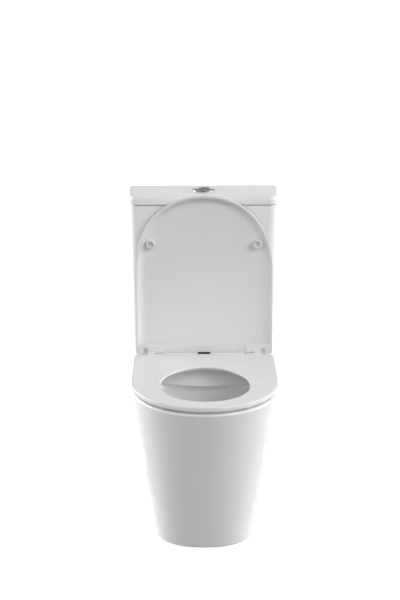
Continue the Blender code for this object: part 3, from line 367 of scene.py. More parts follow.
# ------------------------------------------------------------------ materials
class Look:
    """A Principled material with its procedural nodes."""

    def __init__(self, name, **sockets):
        self.mat = bpy.data.materials.new(name)
        self.mat.use_nodes = True
        self.tree = self.mat.node_tree
        self.shader = self.tree.nodes["Principled BSDF"]
        for key, value in sockets.items():
            self.shader.inputs[key.replace("_", " ")].default_value = value
        self.place = self.node("ShaderNodeTexCoord").outputs["Object"]

    def node(self, kind, **values):
        made = self.tree.nodes.new(kind)
        for key, value in values.items():
            name = key.replace("_", " ")
            if name in made.inputs:
                made.inputs[name].default_value = value
            else:
                setattr(made, key, value)
        return made

    def wire(self, source, target):
        self.tree.links.new(source, target)

    def stretched(self, scale):
        mapping = self.node("ShaderNodeMapping")
        mapping.inputs["Scale"].default_value = scale
        self.wire(self.place, mapping.inputs["Vector"])
        return mapping.outputs["Vector"]

    def noise(self, scale, detail=3.0, rough=0.5, vector=None):
        made = self.node("ShaderNodeTexNoise", Scale=scale, Detail=detail, Roughness=rough)
        self.wire(vector or self.place, made.inputs["Vector"])
        return made.outputs["Fac"]

    def cells(self, scale):
        made = self.node("ShaderNodeTexVoronoi", Scale=scale)
        self.wire(self.place, made.inputs["Vector"])
        return made.outputs["Distance"]

    def span(self, value, low, high, to_low=0.0, to_high=1.0, smooth=False):
        made = self.node("ShaderNodeMapRange")
        if smooth:
            made.interpolation_type = "SMOOTHSTEP"
        for key, number in (("From Min", low), ("From Max", high), ("To Min", to_low), ("To Max", to_high)):
            made.inputs[key].default_value = number
        self.wire(value, made.inputs["Value"])
        return made.outputs["Result"]

    def blend(self, factor, first, second):
        """Mix of two colours, each a tuple or a socket."""
        made = self.node("ShaderNodeMix", data_type="RGBA")
        self.wire(factor, made.inputs[0])
        for socket, value in ((made.inputs[6], first), (made.inputs[7], second)):
            if isinstance(value, tuple):
                socket.default_value = (*value, 1.0)
            else:
                self.wire(value, socket)
        return made.outputs[2]

    def total(self, first, second, operation="ADD"):
        made = self.node("ShaderNodeMath", operation=operation)
        for socket, value in zip(made.inputs, (first, second)):
            if isinstance(value, float):
                socket.default_value = value
            else:
                self.wire(value, socket)
        return made.outputs[0]

    def bump(self, height, strength, distance, under=None):
        made = self.node("ShaderNodeBump", Strength=strength, Distance=distance)
        self.wire(height, made.inputs["Height"])
        if under is not None:
            self.wire(under, made.inputs["Normal"])
        return made.outputs["Normal"]

    def use(self, colour=None, roughness=None, normal=None):
        for value, key in ((colour, "Base Color"), (roughness, "Roughness"), (normal, "Normal")):
            if value is not None:
                self.wire(value, self.shader.inputs[key])
        return self.mat


def glazed_ceramic():
    """White vitreous glaze: faint waviness, tiny pinholes and a bare, rougher foot."""
    look = Look("glazed_ceramic", Coat_Weight=0.5, Coat_Roughness=0.03, IOR=1.52)
    clouds = look.span(look.noise(4.0, 4.0), 0.3, 0.7)
    white = look.blend(clouds, (0.872, 0.874, 0.870), (0.892, 0.893, 0.889))
    specks = look.span(look.cells(260.0), 0.020, 0.045, 1.0, 0.0)
    rare = look.span(look.noise(38.0, 1.0), 0.62, 0.66)
    specks = look.total(specks, rare, "MULTIPLY")
    white = look.blend(look.total(specks, 0.5, "MULTIPLY"), white, (0.56, 0.55, 0.52))
    height = look.node("ShaderNodeSeparateXYZ")
    look.wire(look.place, height.inputs[0])
    ragged = look.total(height.outputs["Z"], look.total(look.noise(60.0), 0.0012, "MULTIPLY"), "SUBTRACT")
    bare = look.span(ragged, 0.0012, 0.0026, 1.0, 0.0)
    colour = look.blend(bare, white, (0.66, 0.63, 0.58))
    gloss = look.span(look.noise(9.0, 5.0), 0.3, 0.7, 0.07, 0.12)
    roughness = look.total(gloss, look.total(bare, 0.6, "MULTIPLY"), "ADD")
    peel = look.bump(look.noise(85.0, 2.0), 0.10, 0.0006)
    waves = look.bump(look.noise(14.0, 1.0), 0.12, 0.0015, peel)
    return look.use(colour, roughness, waves)


def moulded(name, light, dark, rough, grain, grain_depth, scratches=0.03, **sockets):
    """Injection moulded plastic: slight clouding, fine grain and hairline marks."""
    look = Look(name, **sockets)
    colour = look.blend(look.span(look.noise(11.0, 4.0), 0.3, 0.7), dark, light)
    lines = look.noise(90.0, 4.0, 0.6, look.stretched((1.0, 24.0, 16.0)))
    marks = look.span(lines, 0.60, 0.85)
    base = look.span(look.noise(23.0, 4.0), 0.3, 0.7, rough - 0.03, rough + 0.04)
    roughness = look.total(base, look.total(marks, scratches, "MULTIPLY"), "ADD")
    fine = look.bump(look.noise(grain, 3.0), grain_depth, 0.0002)
    return look.use(colour, roughness, fine)


def polished_metal(name, light, dark, rough, smudge):
    """Plated metal with smudges and very fine wiping marks."""
    look = Look(name, Metallic=1.0)
    colour = look.blend(look.span(look.noise(70.0, 3.0), 0.35, 0.65), dark, light)
    film = look.span(look.noise(45.0, 4.0, 0.6), 0.45, 0.75, 0.0, smudge)
    wiped = look.noise(420.0, 2.0, 0.5, look.stretched((1.0, 6.0, 1.0)))
    roughness = look.total(look.span(wiped, 0.3, 0.7, rough * 0.8, rough * 1.3), film, "ADD")
    return look.use(colour, roughness, look.bump(wiped, 0.05, 0.0001))


def brushed_metal(name, light, dark, rough, run):
    look = Look(name, Metallic=1.0)
    lines = look.noise(260.0, 4.0, 0.6, look.stretched(run))
    colour = look.blend(look.span(lines, 0.3, 0.7), dark, light)
    tarnish = look.span(look.noise(55.0, 4.0), 0.45, 0.8, 0.0, 0.15)
    roughness = look.total(look.span(lines, 0.3, 0.7, rough - 0.06, rough + 0.08), tarnish, "ADD")
    return look.use(colour, roughness, look.bump(lines, 0.15, 0.0001))


def rubber(name, light, dark, rough):
    """Matt rubber with a powdery bloom and a soft pebble."""
    look = Look(name, Specular_IOR_Level=0.3)
    bloom = look.span(look.noise(90.0, 5.0, 0.65), 0.4, 0.75)
    colour = look.blend(bloom, dark, light)
    roughness = look.span(look.noise(150.0, 3.0), 0.3, 0.7, rough - 0.06, rough + 0.08)
    return look.use(colour, roughness, look.bump(look.cells(1400.0), 0.25, 0.0002))


def pale_floor():
    """Matt pale ground with a glow of its own."""
    look = Look("pale_floor", Specular_IOR_Level=0.15, Emission_Color=(1.0, 1.0, 1.0, 1.0),
                Emission_Strength=0.4)
    colour = look.blend(look.span(look.noise(1.3, 5.0), 0.3, 0.7), (0.91, 0.91, 0.91), (0.93, 0.93, 0.93))
    roughness = look.span(look.noise(40.0, 3.0), 0.3, 0.7, 0.72, 0.82)
    return look.use(colour, roughness, look.bump(look.noise(300.0, 2.0), 0.05, 0.0005))


CERAMIC = glazed_ceramic()
SEAT_WHITE = moulded("seat_plastic", (0.815, 0.818, 0.815), (0.800, 0.802, 0.798), 0.22, 700.0, 0.05, 0.01,
                     Coat_Weight=0.15, Coat_Roughness=0.12)
VALVE_WHITE = moulded("valve_plastic", (0.74, 0.74, 0.71), (0.70, 0.69, 0.65), 0.42, 900.0, 0.15)
ACCENT = moulded("accent_plastic", (0.22, 0.33, 0.45), (0.18, 0.28, 0.39), 0.42, 900.0, 0.15)
BLACK_PLASTIC = moulded("black_plastic", (0.012, 0.012, 0.013), (0.007, 0.007, 0.008), 0.55, 1500.0, 0.3,
                        Specular_IOR_Level=0.25)
CHROME = polished_metal("dark_chrome", (0.11, 0.11, 0.115), (0.08, 0.08, 0.083), 0.09, 0.08)
RING_CHROME = polished_metal("ring_chrome", (0.58, 0.58, 0.59), (0.48, 0.48, 0.49), 0.07, 0.08)
STEEL = brushed_metal("brushed_steel", (0.62, 0.62, 0.61), (0.50, 0.50, 0.49), 0.28, (1.0, 1.0, 14.0))
BRASS = brushed_metal("brass", (0.72, 0.54, 0.27), (0.58, 0.41, 0.18), 0.30, (1.0, 1.0, 9.0))
SOFT_WHITE = rubber("soft_white", (0.80, 0.80, 0.785), (0.76, 0.76, 0.74), 0.45)
BLACK_RUBBER = rubber("black_rubber", (0.055, 0.055, 0.055), (0.022, 0.022, 0.022), 0.68)
FLOOR = pale_floor()


# ------------------------------------------------------------------ pan
# half width, where the round front begins, front, and squareness of the front
PAN_FOOT = (0.127, -0.045, -0.1685, 2.3)
PAN_RIM = (0.181, -0.110, -0.313, 2.1)
RIM_EDGE = 0.007
MOUTH_EDGE = 0.006
PAST_WALL_Y = WALL_Y + 0.02


def pan_outline(z, inset=0.0, rear=WALL_Y, corner=0.004):
    half, nose, front, power = [mix(foot, rim, z / RIM_Z) for foot, rim in zip(PAN_FOOT, PAN_RIM)]
    return d_outline(half - inset, nose, front + inset, rear, power, corner)


BOWL_WIDEST = 0.566  # share of the bowl's length, from its front
BOWL_FRONT_POWER = 2.1
# height, half width, front, back, squareness of the back, forward bulge of the middle of the back
BOWL = [
    (0.405, 0.132, -0.2830, 0.0460, 6.0, 0.004),
    (0.396, 0.131, -0.2810, 0.0460, 6.5, 0.014),
    (0.384, 0.131, -0.2800, 0.0455, 7.0, 0.030),
    (0.3755, 0.131, -0.2800, 0.0450, 7.0, 0.0405),
    (0.3728, 0.131, -0.2800, 0.0450, 7.0, 0.0424),
]
UNDER_LIP = [
    (0.3716, 0.131, -0.2800, 0.0465, 7.0, 0.036),
    (0.3710, 0.131, -0.2800, 0.0485, 7.0, 0.024),
    (0.3690, 0.131, -0.2800, 0.0497, 7.0, 0.0205),
    (0.362, 0.130, -0.2790, 0.0495, 6.5, 0.020),
    (0.352, 0.128, -0.2760, 0.0470, 5.4, 0.018),
    (0.342, 0.121, -0.2680, 0.0380, 4.0, 0.012),
    (0.326, 0.113, -0.2580, 0.0230, 3.2, 0.005),
    (0.310, 0.105, -0.2480, 0.0080, 2.8, 0.000),
    (0.270, 0.084, -0.2160, -0.0140, 2.3, 0.000),
    (0.230, 0.063, -0.1800, -0.0260, 2.1, 0.000),
    (0.190, 0.047, -0.1480, -0.0320, 2.0, 0.000),
    (0.155, 0.037, -0.1220, -0.0380, 2.0, 0.000),
    (0.143, 0.031, -0.1140, -0.0420, 2.0, 0.000),
    (0.138, 0.022, -0.1020, -0.0500, 2.0, 0.000),
]
BOWL_FLOOR_Z = UNDER_LIP[-1][0]
BOWL_BEND_Z = 0.350  # where the walls turn from upright to sloping
BEHIND_BOWL_Y = 0.050


def bowl_ring(angles, level, grow=0.0):
    """Ring of the bowl with a point in each direction from its widest place."""
    z, half, front, rear, power, bulge = level
    centre = mix(front, rear, BOWL_WIDEST)
    half += grow
    ring = []
    for a in angles:
        if math.sin(a) < 0:
            reach = oval_reach(a, half, centre - front + grow, BOWL_FRONT_POWER)
        else:
            reach = oval_reach(a, half, rear - centre + grow, power)
        x = reach * math.cos(a)
        y = centre + reach * math.sin(a)
        if math.sin(a) > 0:
            y -= bulge * max(1 - (x / half) ** 2, 0.0)
        ring.append((x, y, z))
    return ring


TRAP_BORE = 0.027
TRAP_WALL = 0.009
TRAP_ROUTE = [(0.0, -0.085, 0.178), (0.0, -0.052, 0.150), (0.0, -0.010, 0.142), (0.0, 0.030, 0.160),
              (0.0, 0.064, 0.198), (0.0, 0.100, 0.222), (0.0, 0.140, 0.214), (0.0, 0.180, 0.189),
              (0.0, 0.222, OUTLET_Z), (0.0, 0.262, OUTLET_Z)]
OUTLET_WALL = 0.008
DUCT_WALL = 0.009
# place, half width, bottom and top of the flush duct, at the bowl and under the flush valve
DUCT_ENDS = [(0.026, 0.032, 0.3645, 0.3830), (VALVE_Y, 0.030, 0.3620, 0.3795)]


def duct(name, grow):
    """Flat flush duct, larger by grow on every side."""
    rings = []
    for y, half, low, high in DUCT_ENDS:
        y -= grow if y < VALVE_Y else 0.0
        corners = [(-half - grow, low - grow), (half + grow, low - grow), (half + grow, high + grow),
                   (-half - grow, high + grow)]
        rings.append([(x, y, z) for x, z in rounded(corners, 0.005)])
    return skin(name, rings)


def outlet(name, radius, start, end, edge):
    return rod(name, radius, start, end, (0, 0, OUTLET_Z), "Y", edge, 72)


def pan_body(angles):
    """Skirt, rim and bowl as one closed surface, still solid inside."""
    rings = [at(pan_outline(z, inset), z) for z, inset in ((0.0, 0.0025), (0.0006, 0.0010))]
    rings += [at(pan_outline(z), z) for z in (0.0025, 0.06, 0.12, 0.18, 0.24, 0.30, 0.36)]
    rings += [at(pan_outline(RIM_Z - drop, inset, WALL_Y - 0.3 * inset), RIM_Z - drop)
              for inset, drop in edge_steps(RIM_EDGE, 8)]
    rings += [bowl_ring(angles, (RIM_Z - drop, *BOWL[0][1:]), inset)
              for inset, drop in reversed(edge_steps(MOUTH_EDGE, 8))]
    rings += [bowl_ring(angles, level) for level in dense(BOWL, 4)[1:] + dense(UNDER_LIP, 4)]
    return skin("pan_ceramic", rings)


def bowl_shell(angles):
    """Outer side of the bowl's wall, seen from inside the skirt."""
    rings = []
    for z, half, front, rear, power, _ in [(0.402, *BOWL[1][1:])] + dense(UNDER_LIP[3:], 3):
        if z < BOWL_BEND_Z:
            z -= WALL * (BOWL_BEND_Z - z) / (BOWL_BEND_Z - BOWL_FLOOR_Z)
        else:
            rear = BEHIND_BOWL_Y
        rings.append(bowl_ring(angles, (z, half, front, rear, power, 0.0), WALL))
    return skin("bowl_shell", rings)


def pan_hollow(angles):
    """Space inside the skirt, open to the wall and the floor, round the bowl and the water ways."""
    rings = [at(pan_outline(z, WALL, PAST_WALL_Y, 0.002), z) for z in (-0.01, 0.10, 0.20, 0.30, 0.380)]
    rings += [at(pan_outline(DECK_UNDER_Z - drop, WALL + inset, PAST_WALL_Y, 0.002), DECK_UNDER_Z - drop)
              for inset, drop in edge_steps(0.010, 5)]
    hollow = skin("hollow", rings)
    cut(hollow, bowl_shell(angles))
    cut(hollow, pipe("trap_out", TRAP_ROUTE, TRAP_BORE + TRAP_WALL))
    cut(hollow, outlet("outlet_out", OUTLET_RADIUS, 0.236, 0.290, 0.003))
    cut(hollow, duct("duct_out", DUCT_WALL),
        rod("inlet_boss", 0.057, 0.340, 0.400, (0, VALVE_Y, 0), edge=0.004))
    return hollow


def build_pan():
    hub = mix(BOWL[0][2], BOWL[0][3], BOWL_WIDEST)
    angles = [math.atan2(y - hub, x) for x, y in pan_outline(RIM_Z)]
    pan = pan_body(angles)
    cut(pan, pan_hollow(angles))
    cut(pan, pipe("trap_in", TRAP_ROUTE, TRAP_BORE))
    cut(pan, outlet("outlet_in", OUTLET_RADIUS - OUTLET_WALL, 0.246, 0.30, 0.004))
    cut(pan, duct("duct_in", 0.0))
    cut(pan, rod("inlet_well", 0.030, 0.352, 0.383, (0, VALVE_Y, 0)),
        rod("inlet_seat", 0.047, 0.381, 0.42, (0, VALVE_Y, 0)))
    holes = [rod("supply_hole", 0.019, 0.38, 0.42, (FILL_X, VALVE_Y, 0))]
    for side in (-1, 1):
        holes.append(rod("coupling_hole", 0.006, 0.38, 0.42, (side * COUPLING_X, VALVE_Y, 0), sides=24))
        holes.append(rod("seat_hole", 0.007, 0.38, 0.42, (side * POST_X, HINGE.y, 0), sides=24))
        span = sorted((side * 0.10, side * 0.14))
        holes.append(rod("fixing_hole", 0.0045, *span, (0, 0.060, 0.032), "X", sides=24))
    cut(pan, *holes)
    done(pan, CERAMIC, "base", "ceramic", *[node for node in frame["nodes"] if node.startswith("pan")])


# ------------------------------------------------------------------ cistern
CISTERN_FRONT_Y = 0.168
CISTERN_SPREAD = 0.23  # share by which the cistern widens in a metre towards the wall
TANK_WALL = 0.010
TANK_EDGE = 0.0016
COVER_HALF = 0.1925
COVER_FRONT_Y = 0.164
COVER_WALL = 0.0115
COVER_EDGE = 0.0140
COVER_SIDE_EDGE = 0.005
COVER_LOW_EDGE = 0.0014
GROOVE_HEIGHT = 0.0025
GROOVE_DEPTH = 0.0080


def spread(outline):
    """The outline made wider towards the wall."""
    return [(x * (1 + CISTERN_SPREAD * (y - CISTERN_FRONT_Y)), y) for x, y in outline]


def tank_outline(z, inset=0.0):
    t = (z - TANK_BOTTOM_Z) / (TANK_TOP_Z - TANK_BOTTOM_Z)
    return spread(box_outline(mix(0.1845, 0.1895, t) - inset, mix(0.171, CISTERN_FRONT_Y, t) + inset,
                              0.318 - inset, max(0.020 - inset, 0.008), max(0.016 - inset, 0.005)))


def build_tank():
    low = TANK_BOTTOM_Z
    top = TANK_TOP_Z
    heights = (0.50, 0.60, 0.70)
    rings = [at(tank_outline(low, inset), low + drop) for inset, drop in reversed(edge_steps(0.005))]
    rings += [at(tank_outline(z), z) for z in heights]
    rings += [at(tank_outline(top, inset), top - drop) for inset, drop in edge_steps(TANK_EDGE)]
    rings += [at(tank_outline(top, TANK_WALL - inset), top - drop)
              for inset, drop in reversed(edge_steps(TANK_EDGE))]
    rings += [at(tank_outline(z, TANK_WALL), z) for z in reversed(heights)]
    floor = low + 0.0125
    rings += [at(tank_outline(low, TANK_WALL + inset), floor + drop) for inset, drop in edge_steps(0.008)]
    tank = skin("tank_ceramic", rings)
    holes = [(0.0325, 0, 64), (0.0110, FILL_X, 32), (0.0055, -COUPLING_X, 24), (0.0055, COUPLING_X, 24)]
    cut(tank, *[rod("hole", radius, low - 0.01, floor + 0.01, (x, VALVE_Y, 0), sides=sides)
                for radius, x, sides in holes])
    done(tank, CERAMIC, "base", "ceramic", "tank")


def cover_outline(inset=0.0, side=None):
    """Outline of the cistern lid; its two sides can have an inset of their own."""
    half = COVER_HALF - (inset if side is None else side)
    return spread(box_outline(half, COVER_FRONT_Y + inset, WALL_Y - inset, max(0.022 - inset, 0.006),
                              max(0.018 - inset, 0.006)))


def side_round(drop):
    """Inset of the lid's rounded side edge at a depth below its top."""
    return COVER_SIDE_EDGE - math.sqrt(COVER_SIDE_EDGE ** 2 - max(COVER_SIDE_EDGE - drop, 0.0) ** 2)


def build_cistern_lid():
    top = COVER_TOP_Z
    low = TANK_TOP_Z + GAP
    groove = low + GROOVE_HEIGHT
    rings = [at(cover_outline(GROOVE_DEPTH), low), at(cover_outline(GROOVE_DEPTH), groove),
             at(cover_outline(COVER_LOW_EDGE), groove)]
    rings += [at(cover_outline(inset), groove + drop)
              for inset, drop in reversed(edge_steps(COVER_LOW_EDGE, 4)[:-1])]
    rings += [at(cover_outline(inset, 0.3 * inset + side_round(drop)), top - drop)
              for inset, drop in edge_steps(COVER_EDGE, 14)]
    lid = skin("cistern_lid_ceramic", rings)
    under = [at(cover_outline(COVER_WALL), low - 0.01), at(cover_outline(COVER_WALL), top - 0.016)]
    under += [at(cover_outline(COVER_WALL + inset), top - 0.012 - drop)
              for inset, drop in edge_steps(0.004, 4)[1:]]
    cut(lid, skin("under", under))
    ribs = []
    for side in (-1, 1):
        span = sorted((side * 0.1715, side * 0.1775))
        ribs.append(block("rib", (span[0], 0.200, low - 0.007), (span[1], 0.285, top - 0.010), 0.0015))
    join(lid, *ribs)
    cut(lid, rod("button_hole", 0.0262, top - 0.03, top + 0.01, (0, VALVE_Y, 0), sides=72))
    done(lid, CERAMIC, "cistern_cover", "ceramic", "cistern_lid")


KEY_RADIUS = 0.0228
KEY_EDGE = 0.0009
KEY_TOP_Z = COVER_TOP_Z + 0.0022
KEY_LOW_Z = COVER_TOP_Z - 0.009
STEM_LOW_Z = 0.7077


def half_key(name, side, split, node, body):
    """Half of the round push button beyond the line x = split, with a dished top and rounded edges."""
    def outline(inset, steps=32):
        radius = KEY_RADIUS - inset
        edge = math.acos((split + inset) / radius)
        arc = []
        for k in range(steps + 1):
            a = -edge + 2 * edge * k / steps
            arc.append((side * radius * math.cos(a), VALVE_Y + radius * math.sin(a)))
        return arc + along_line(arc[-1], arc[0], 20)

    rings = [at(outline(0.0), KEY_LOW_Z)]
    rings += [at(outline(inset), KEY_TOP_Z - drop) for inset, drop in edge_steps(KEY_EDGE, 4)]
    flat = outline(KEY_EDGE)
    hub = (side * 0.011, VALVE_Y)
    for share, dip in ((0.85, 0.00010), (0.6, 0.0004), (0.3, 0.0007)):
        rings.append([(mix(hub[0], x, share), mix(hub[1], y, share), KEY_TOP_Z - dip) for x, y in flat])
    rings.append([(*hub, KEY_TOP_Z - 0.0008)])
    key = skin(name, rings)
    join(key, rod("stem", 0.003, STEM_LOW_Z, KEY_TOP_Z - 0.005, (side * 0.012, VALVE_Y, 0), sides=24))
    done(key, CHROME, body, "chrome", node)


def build_buttons():
    top = COVER_TOP_Z
    profile = [(0.0232, 0.803), (0.0258, 0.803), (0.0258, top + GAP), (0.0295, top + GAP),
               (0.0295, top + 0.0014), (0.0282, top + 0.0030), (0.0243, top + 0.0032),
               (0.0232, top + 0.0020)]
    bezel = lathe("button_bezel_chrome", profile, (0, VALVE_Y, 0), sides=96, radius=0.0008, steps=5)
    done(bezel, RING_CHROME, "cistern_cover", "chrome", "button_bezel")
    half_key("full_flush_key", 1, -0.0035, "full_flush_button", "full_button")
    half_key("half_flush_key", -1, 0.0041, "half_flush_button", "half_button")


# ------------------------------------------------------------------ seat
SEAT_PLACE = Matrix.Translation(HINGE)
LID_PLACE = Matrix.Translation(HINGE) @ Matrix.Rotation(-LID_LEAN, 4, "X")
SEAT_LOW = -0.002
SEAT_TOP = 0.010
SEAT_EDGE = 0.0038
SEAT_HUB_Y = -0.247
SEAT_PADS = {"rear_left": (-0.155, -0.165), "rear_right": (0.155, -0.165), "front_left": (-0.096, -0.367),
             "front_right": (0.096, -0.367)}
PAD_HALF_X = 0.011
PAD_HALF_Y = 0.008


def seat_outline(inset):
    return d_outline(0.183 - inset, -0.210, -0.4165 + inset, -0.0135 - inset, 2.1, max(0.006 - inset, 0.002))


def seat_hole(outline, inset):
    """The egg-shaped opening, with one point for each point of the outline."""
    ring = []
    for x, y in outline:
        a = math.atan2(y - SEAT_HUB_Y, x)
        depth, power = (0.1225, 2.15) if math.sin(a) < 0 else (0.1345, 1.95)
        reach = oval_reach(a, 0.110 - inset, depth - inset, power)
        ring.append((reach * math.cos(a), SEAT_HUB_Y + reach * math.sin(a)))
    return ring


def between(first, second, share, z):
    return [(mix(a[0], b[0], share), mix(a[1], b[1], share), z) for a, b in zip(first, second)]


def knuckle(name, span, side, place, radius=KNUCKLE_RADIUS):
    low, high = sorted((side * span[0], side * span[1]))
    return rod(name, radius, low, high, (0, 0, 0), "X", 0.0007, 56, place)


def pin_bore(span, side, place):
    return knuckle("bore", (span[0] - 0.003, span[1] + 0.003), side, place, PIN_BORE)


def build_seat_pad(word, x, y):
    """Soft pad under the seat, rounded where it meets the rim."""
    foot = RIM_Z + GAP - HINGE.z
    outline = box_outline(PAD_HALF_X, -PAD_HALF_Y, PAD_HALF_Y, 0.005, 0.005, 6)
    rings = []
    for inset, z in ((0.0030, foot), (0.0014, foot + 0.0004), (0.0006, foot + 0.0014), (0.0, foot + 0.0032),
                     (0.0, SEAT_LOW - GAP)):
        rings.append([(x + px * (1 - inset / PAD_HALF_X), y + py * (1 - inset / PAD_HALF_Y), z)
                      for px, py in outline])
    pad = skin("seat_pad_" + word, rings, SEAT_PLACE)
    done(pad, SOFT_WHITE, "seat", "white_rubber", "seat_buffer_" + word)


def build_seat():
    base = seat_outline(0.0)
    rings = [at(seat_outline(inset), SEAT_LOW + drop) for inset, drop in reversed(edge_steps(0.0022, 4))]
    rings += [at(seat_outline(inset), SEAT_TOP - drop) for inset, drop in edge_steps(SEAT_EDGE, 7)]
    rings += [between(seat_outline(SEAT_EDGE), seat_hole(base, -0.0062), share, SEAT_TOP)
              for share in (0.2, 0.5, 0.8)]
    for inset, drop in ((-0.0062, 0.0), (-0.0040, 0.0003), (-0.0022, 0.0010), (-0.0009, 0.0020),
                        (-0.0002, 0.0032), (-0.0008, 0.0046), (-0.0040, 0.0082)):
        rings.append(at(seat_hole(base, inset), SEAT_TOP - drop))
    rings.append(at(seat_hole(base, -0.0090), SEAT_LOW))
    seat = skin("seat_ring_plastic", rings, SEAT_PLACE, closed=True)
    for side in (-1, 1):
        low_x, high_x = sorted((side * (SEAT_KNUCKLE[0] + 0.0002), side * (SEAT_KNUCKLE[1] - 0.0002)))
        ear = block("ear", (low_x, -0.020, -0.0014), (high_x, -0.001, 0.0080), 0.0010, place=SEAT_PLACE)
        join(seat, ear, knuckle("seat_knuckle", SEAT_KNUCKLE, side, SEAT_PLACE))
    cut(seat, *[pin_bore(SEAT_KNUCKLE, side, SEAT_PLACE) for side in (-1, 1)])
    done(seat, SEAT_WHITE, "seat", "seat_plastic", "seat_ring")
    for word, spot in SEAT_PADS.items():
        build_seat_pad(word, *spot)


# ------------------------------------------------------------------ seat lid
LID_RIM = 0.013
LID_TOP = 0.029
LID_PANEL = 0.024
LID_REAR = 0.0065
LID_BACK = 0.0025
LID_EDGE = 0.0080
CORNER_X = 0.1625
PEG_X = 0.139
PEG_Y = -0.296
PEG_TIP = 0.0103
# sloped border of the lid's inner side: inset, distance from hinge axis to its back, height above the rim
LID_COVE = [
    (0.0032, 0.0276, 0.0),
    (0.0046, 0.0282, 0.0002),
    (0.0060, 0.0288, 0.0008),
    (0.0076, 0.0296, 0.0018),
    (0.0094, 0.0304, 0.0033),
    (0.0114, 0.0314, 0.0052),
    (0.0138, 0.0325, 0.0070),
    (0.0168, 0.0338, 0.0086),
    (0.0203, 0.0352, 0.0098),
    (0.0245, 0.0366, 0.0106),
    (0.0290, 0.0380, 0.0110),
]


def lid_plan(inset, rear):
    return d_outline(0.180 - inset, -0.222, -0.4234 + inset, -rear, 2.2, max(0.006 - 0.5 * inset, 0.002))


def corner_pocket(side):
    """Sloping hollow beside a knuckle, deepest next to it."""
    inner = side * (LID_KNUCKLE[1] - 0.0004)
    rings = []
    for reach, front, z in ((1.0, -0.0200, 0.0), (1.0, -0.0200, LID_RIM), (0.35, -0.0120, 0.0235)):
        outer = mix(inner, side * CORNER_X, reach)
        corners = [(inner, front), (outer, front), (outer, 0.01), (inner, 0.01)]
        rings.append([(x, y, z) for x, y in rounded(corners, 0.003, 4)])
    return skin("corner_pocket", rings, LID_PLACE)


def lid_block(name, side, span, low, high, edge, steps=3):
    """Block on one side of the lid, between two distances from its middle and two (y, z) corners."""
    near, far = sorted((side * span[0], side * span[1]))
    return block(name, (near, *low), (far, *high), edge, steps, LID_PLACE)


def build_lid_peg(word, side):
    """Round buffer with a hollow tip on the lid's inner side."""
    root = LID_PANEL - GAP
    profile = [(0, root), (0.0120, root), (0.0120, PEG_TIP + 0.0022), (0.0108, PEG_TIP + 0.0003),
               (0.0082, PEG_TIP), (0.0068, PEG_TIP + 0.0008), (0.0062, PEG_TIP + 0.0070),
               (0, PEG_TIP + 0.0075)]
    peg = lathe("lid_peg_" + word, profile, (side * PEG_X, PEG_Y, 0), sides=72, radius=0.0012,
                place=LID_PLACE)
    done(peg, SOFT_WHITE, "lid", "white_rubber", "lid_buffer_" + word)


def build_lid():
    rings = [at(lid_plan(0.040, LID_BACK + 0.040), LID_TOP)]
    rings += [at(lid_plan(inset, LID_BACK + 0.6 * inset), LID_TOP - drop)
              for inset, drop in reversed(edge_steps(LID_EDGE, 8))]
    rings += [at(lid_plan(inset, LID_BACK), LID_RIM + drop) for inset, drop in edge_steps(0.0018, 4)]
    rings += [at(lid_plan(inset, rear), LID_RIM + rise) for inset, rear, rise in LID_COVE]
    lid = skin("seat_lid_plastic", rings, LID_PLACE)
    away = [block("bar_room", (-LID_KNUCKLE[1], -LID_REAR, 0.0), (LID_KNUCKLE[1], 0.01, 0.04), 0,
                  place=LID_PLACE)]
    added = []
    for side in (-1, 1):
        away.append(corner_pocket(side))
        away.append(lid_block("relief", side, (LID_KNUCKLE[1] - 0.0004, CORNER_X),
                              (-LID_REAR - 0.0006, 0.02), (0.01, 0.04), 0))
        added.append(lid_block("arm", side, (LID_KNUCKLE[0] + 0.0002, LID_KNUCKLE[1] - 0.0006),
                               (-0.0125, 0.0030), (-0.0030, 0.0200), 0.0012))
        added.append(knuckle("lid_knuckle", LID_KNUCKLE, side, LID_PLACE))
        added.append(lid_block("boss", side, (SEAT_KNUCKLE[0], LID_KNUCKLE[1] - 0.0002),
                               (-0.0265, LID_RIM - 0.0024), (-LID_REAR - 0.0003, 0.0190), 0.0016, 4))
    cut(lid, *away)
    join(lid, *added)
    cut(lid, *[pin_bore(LID_KNUCKLE, side, LID_PLACE) for side in (-1, 1)])
    done(lid, SEAT_WHITE, "lid", "seat_plastic", "seat_lid")
    build_lid_peg("left", -1)
    build_lid_peg("right", 1)


# ------------------------------------------------------------------ hinge
BAR_HALF = 0.1070
BAR_Z = (0.4157, 0.4312)
KEY_HALF = 0.0165
KEY_Z = (0.4300, 0.4336)
RIB_PITCH = 0.0022


def across(name, half, y_span, z_span, edge=0.0, steps=3, along=None):
    """Block centred on x = 0, with its depths given from the hinge axis."""
    low = (-half, HINGE.y + y_span[0], z_span[0])
    high = (half, HINGE.y + y_span[1], z_span[1])
    return block(name, low, high, edge, steps, along=along)


def build_hinge_bar():
    bar = across("hinge_bar_plastic", BAR_HALF, (-0.0085, 0.0085), BAR_Z, 0.0065, 8, along=0)
    away = [across("channel", 0.074, (-0.0042, 0.0055), (0.41, 0.4236)),
            across("key_pocket", KEY_HALF + 0.0004, (-0.02, 0.0052), (KEY_Z[0] - 0.0004, 0.44), 0.0006),
            across("tongue_slot", 0.0086, (-0.0042, 0.0055), (0.4230, 0.4302))]
    for side in (-1, 1):
        away.append(rod("socket", 0.0064, 0.41, 0.4272, (side * POST_X, HINGE.y, 0), sides=32))
        span = sorted((side * 0.096, side * 0.12))
        away.append(rod("bore", PIN_BORE, *span, (0, HINGE.y, HINGE.z), "X", sides=32))
    cut(bar, *away)
    soften(bar, 0.0004, 2, 50)
    done(bar, SEAT_WHITE, "base", "seat_plastic", "hinge_bar")


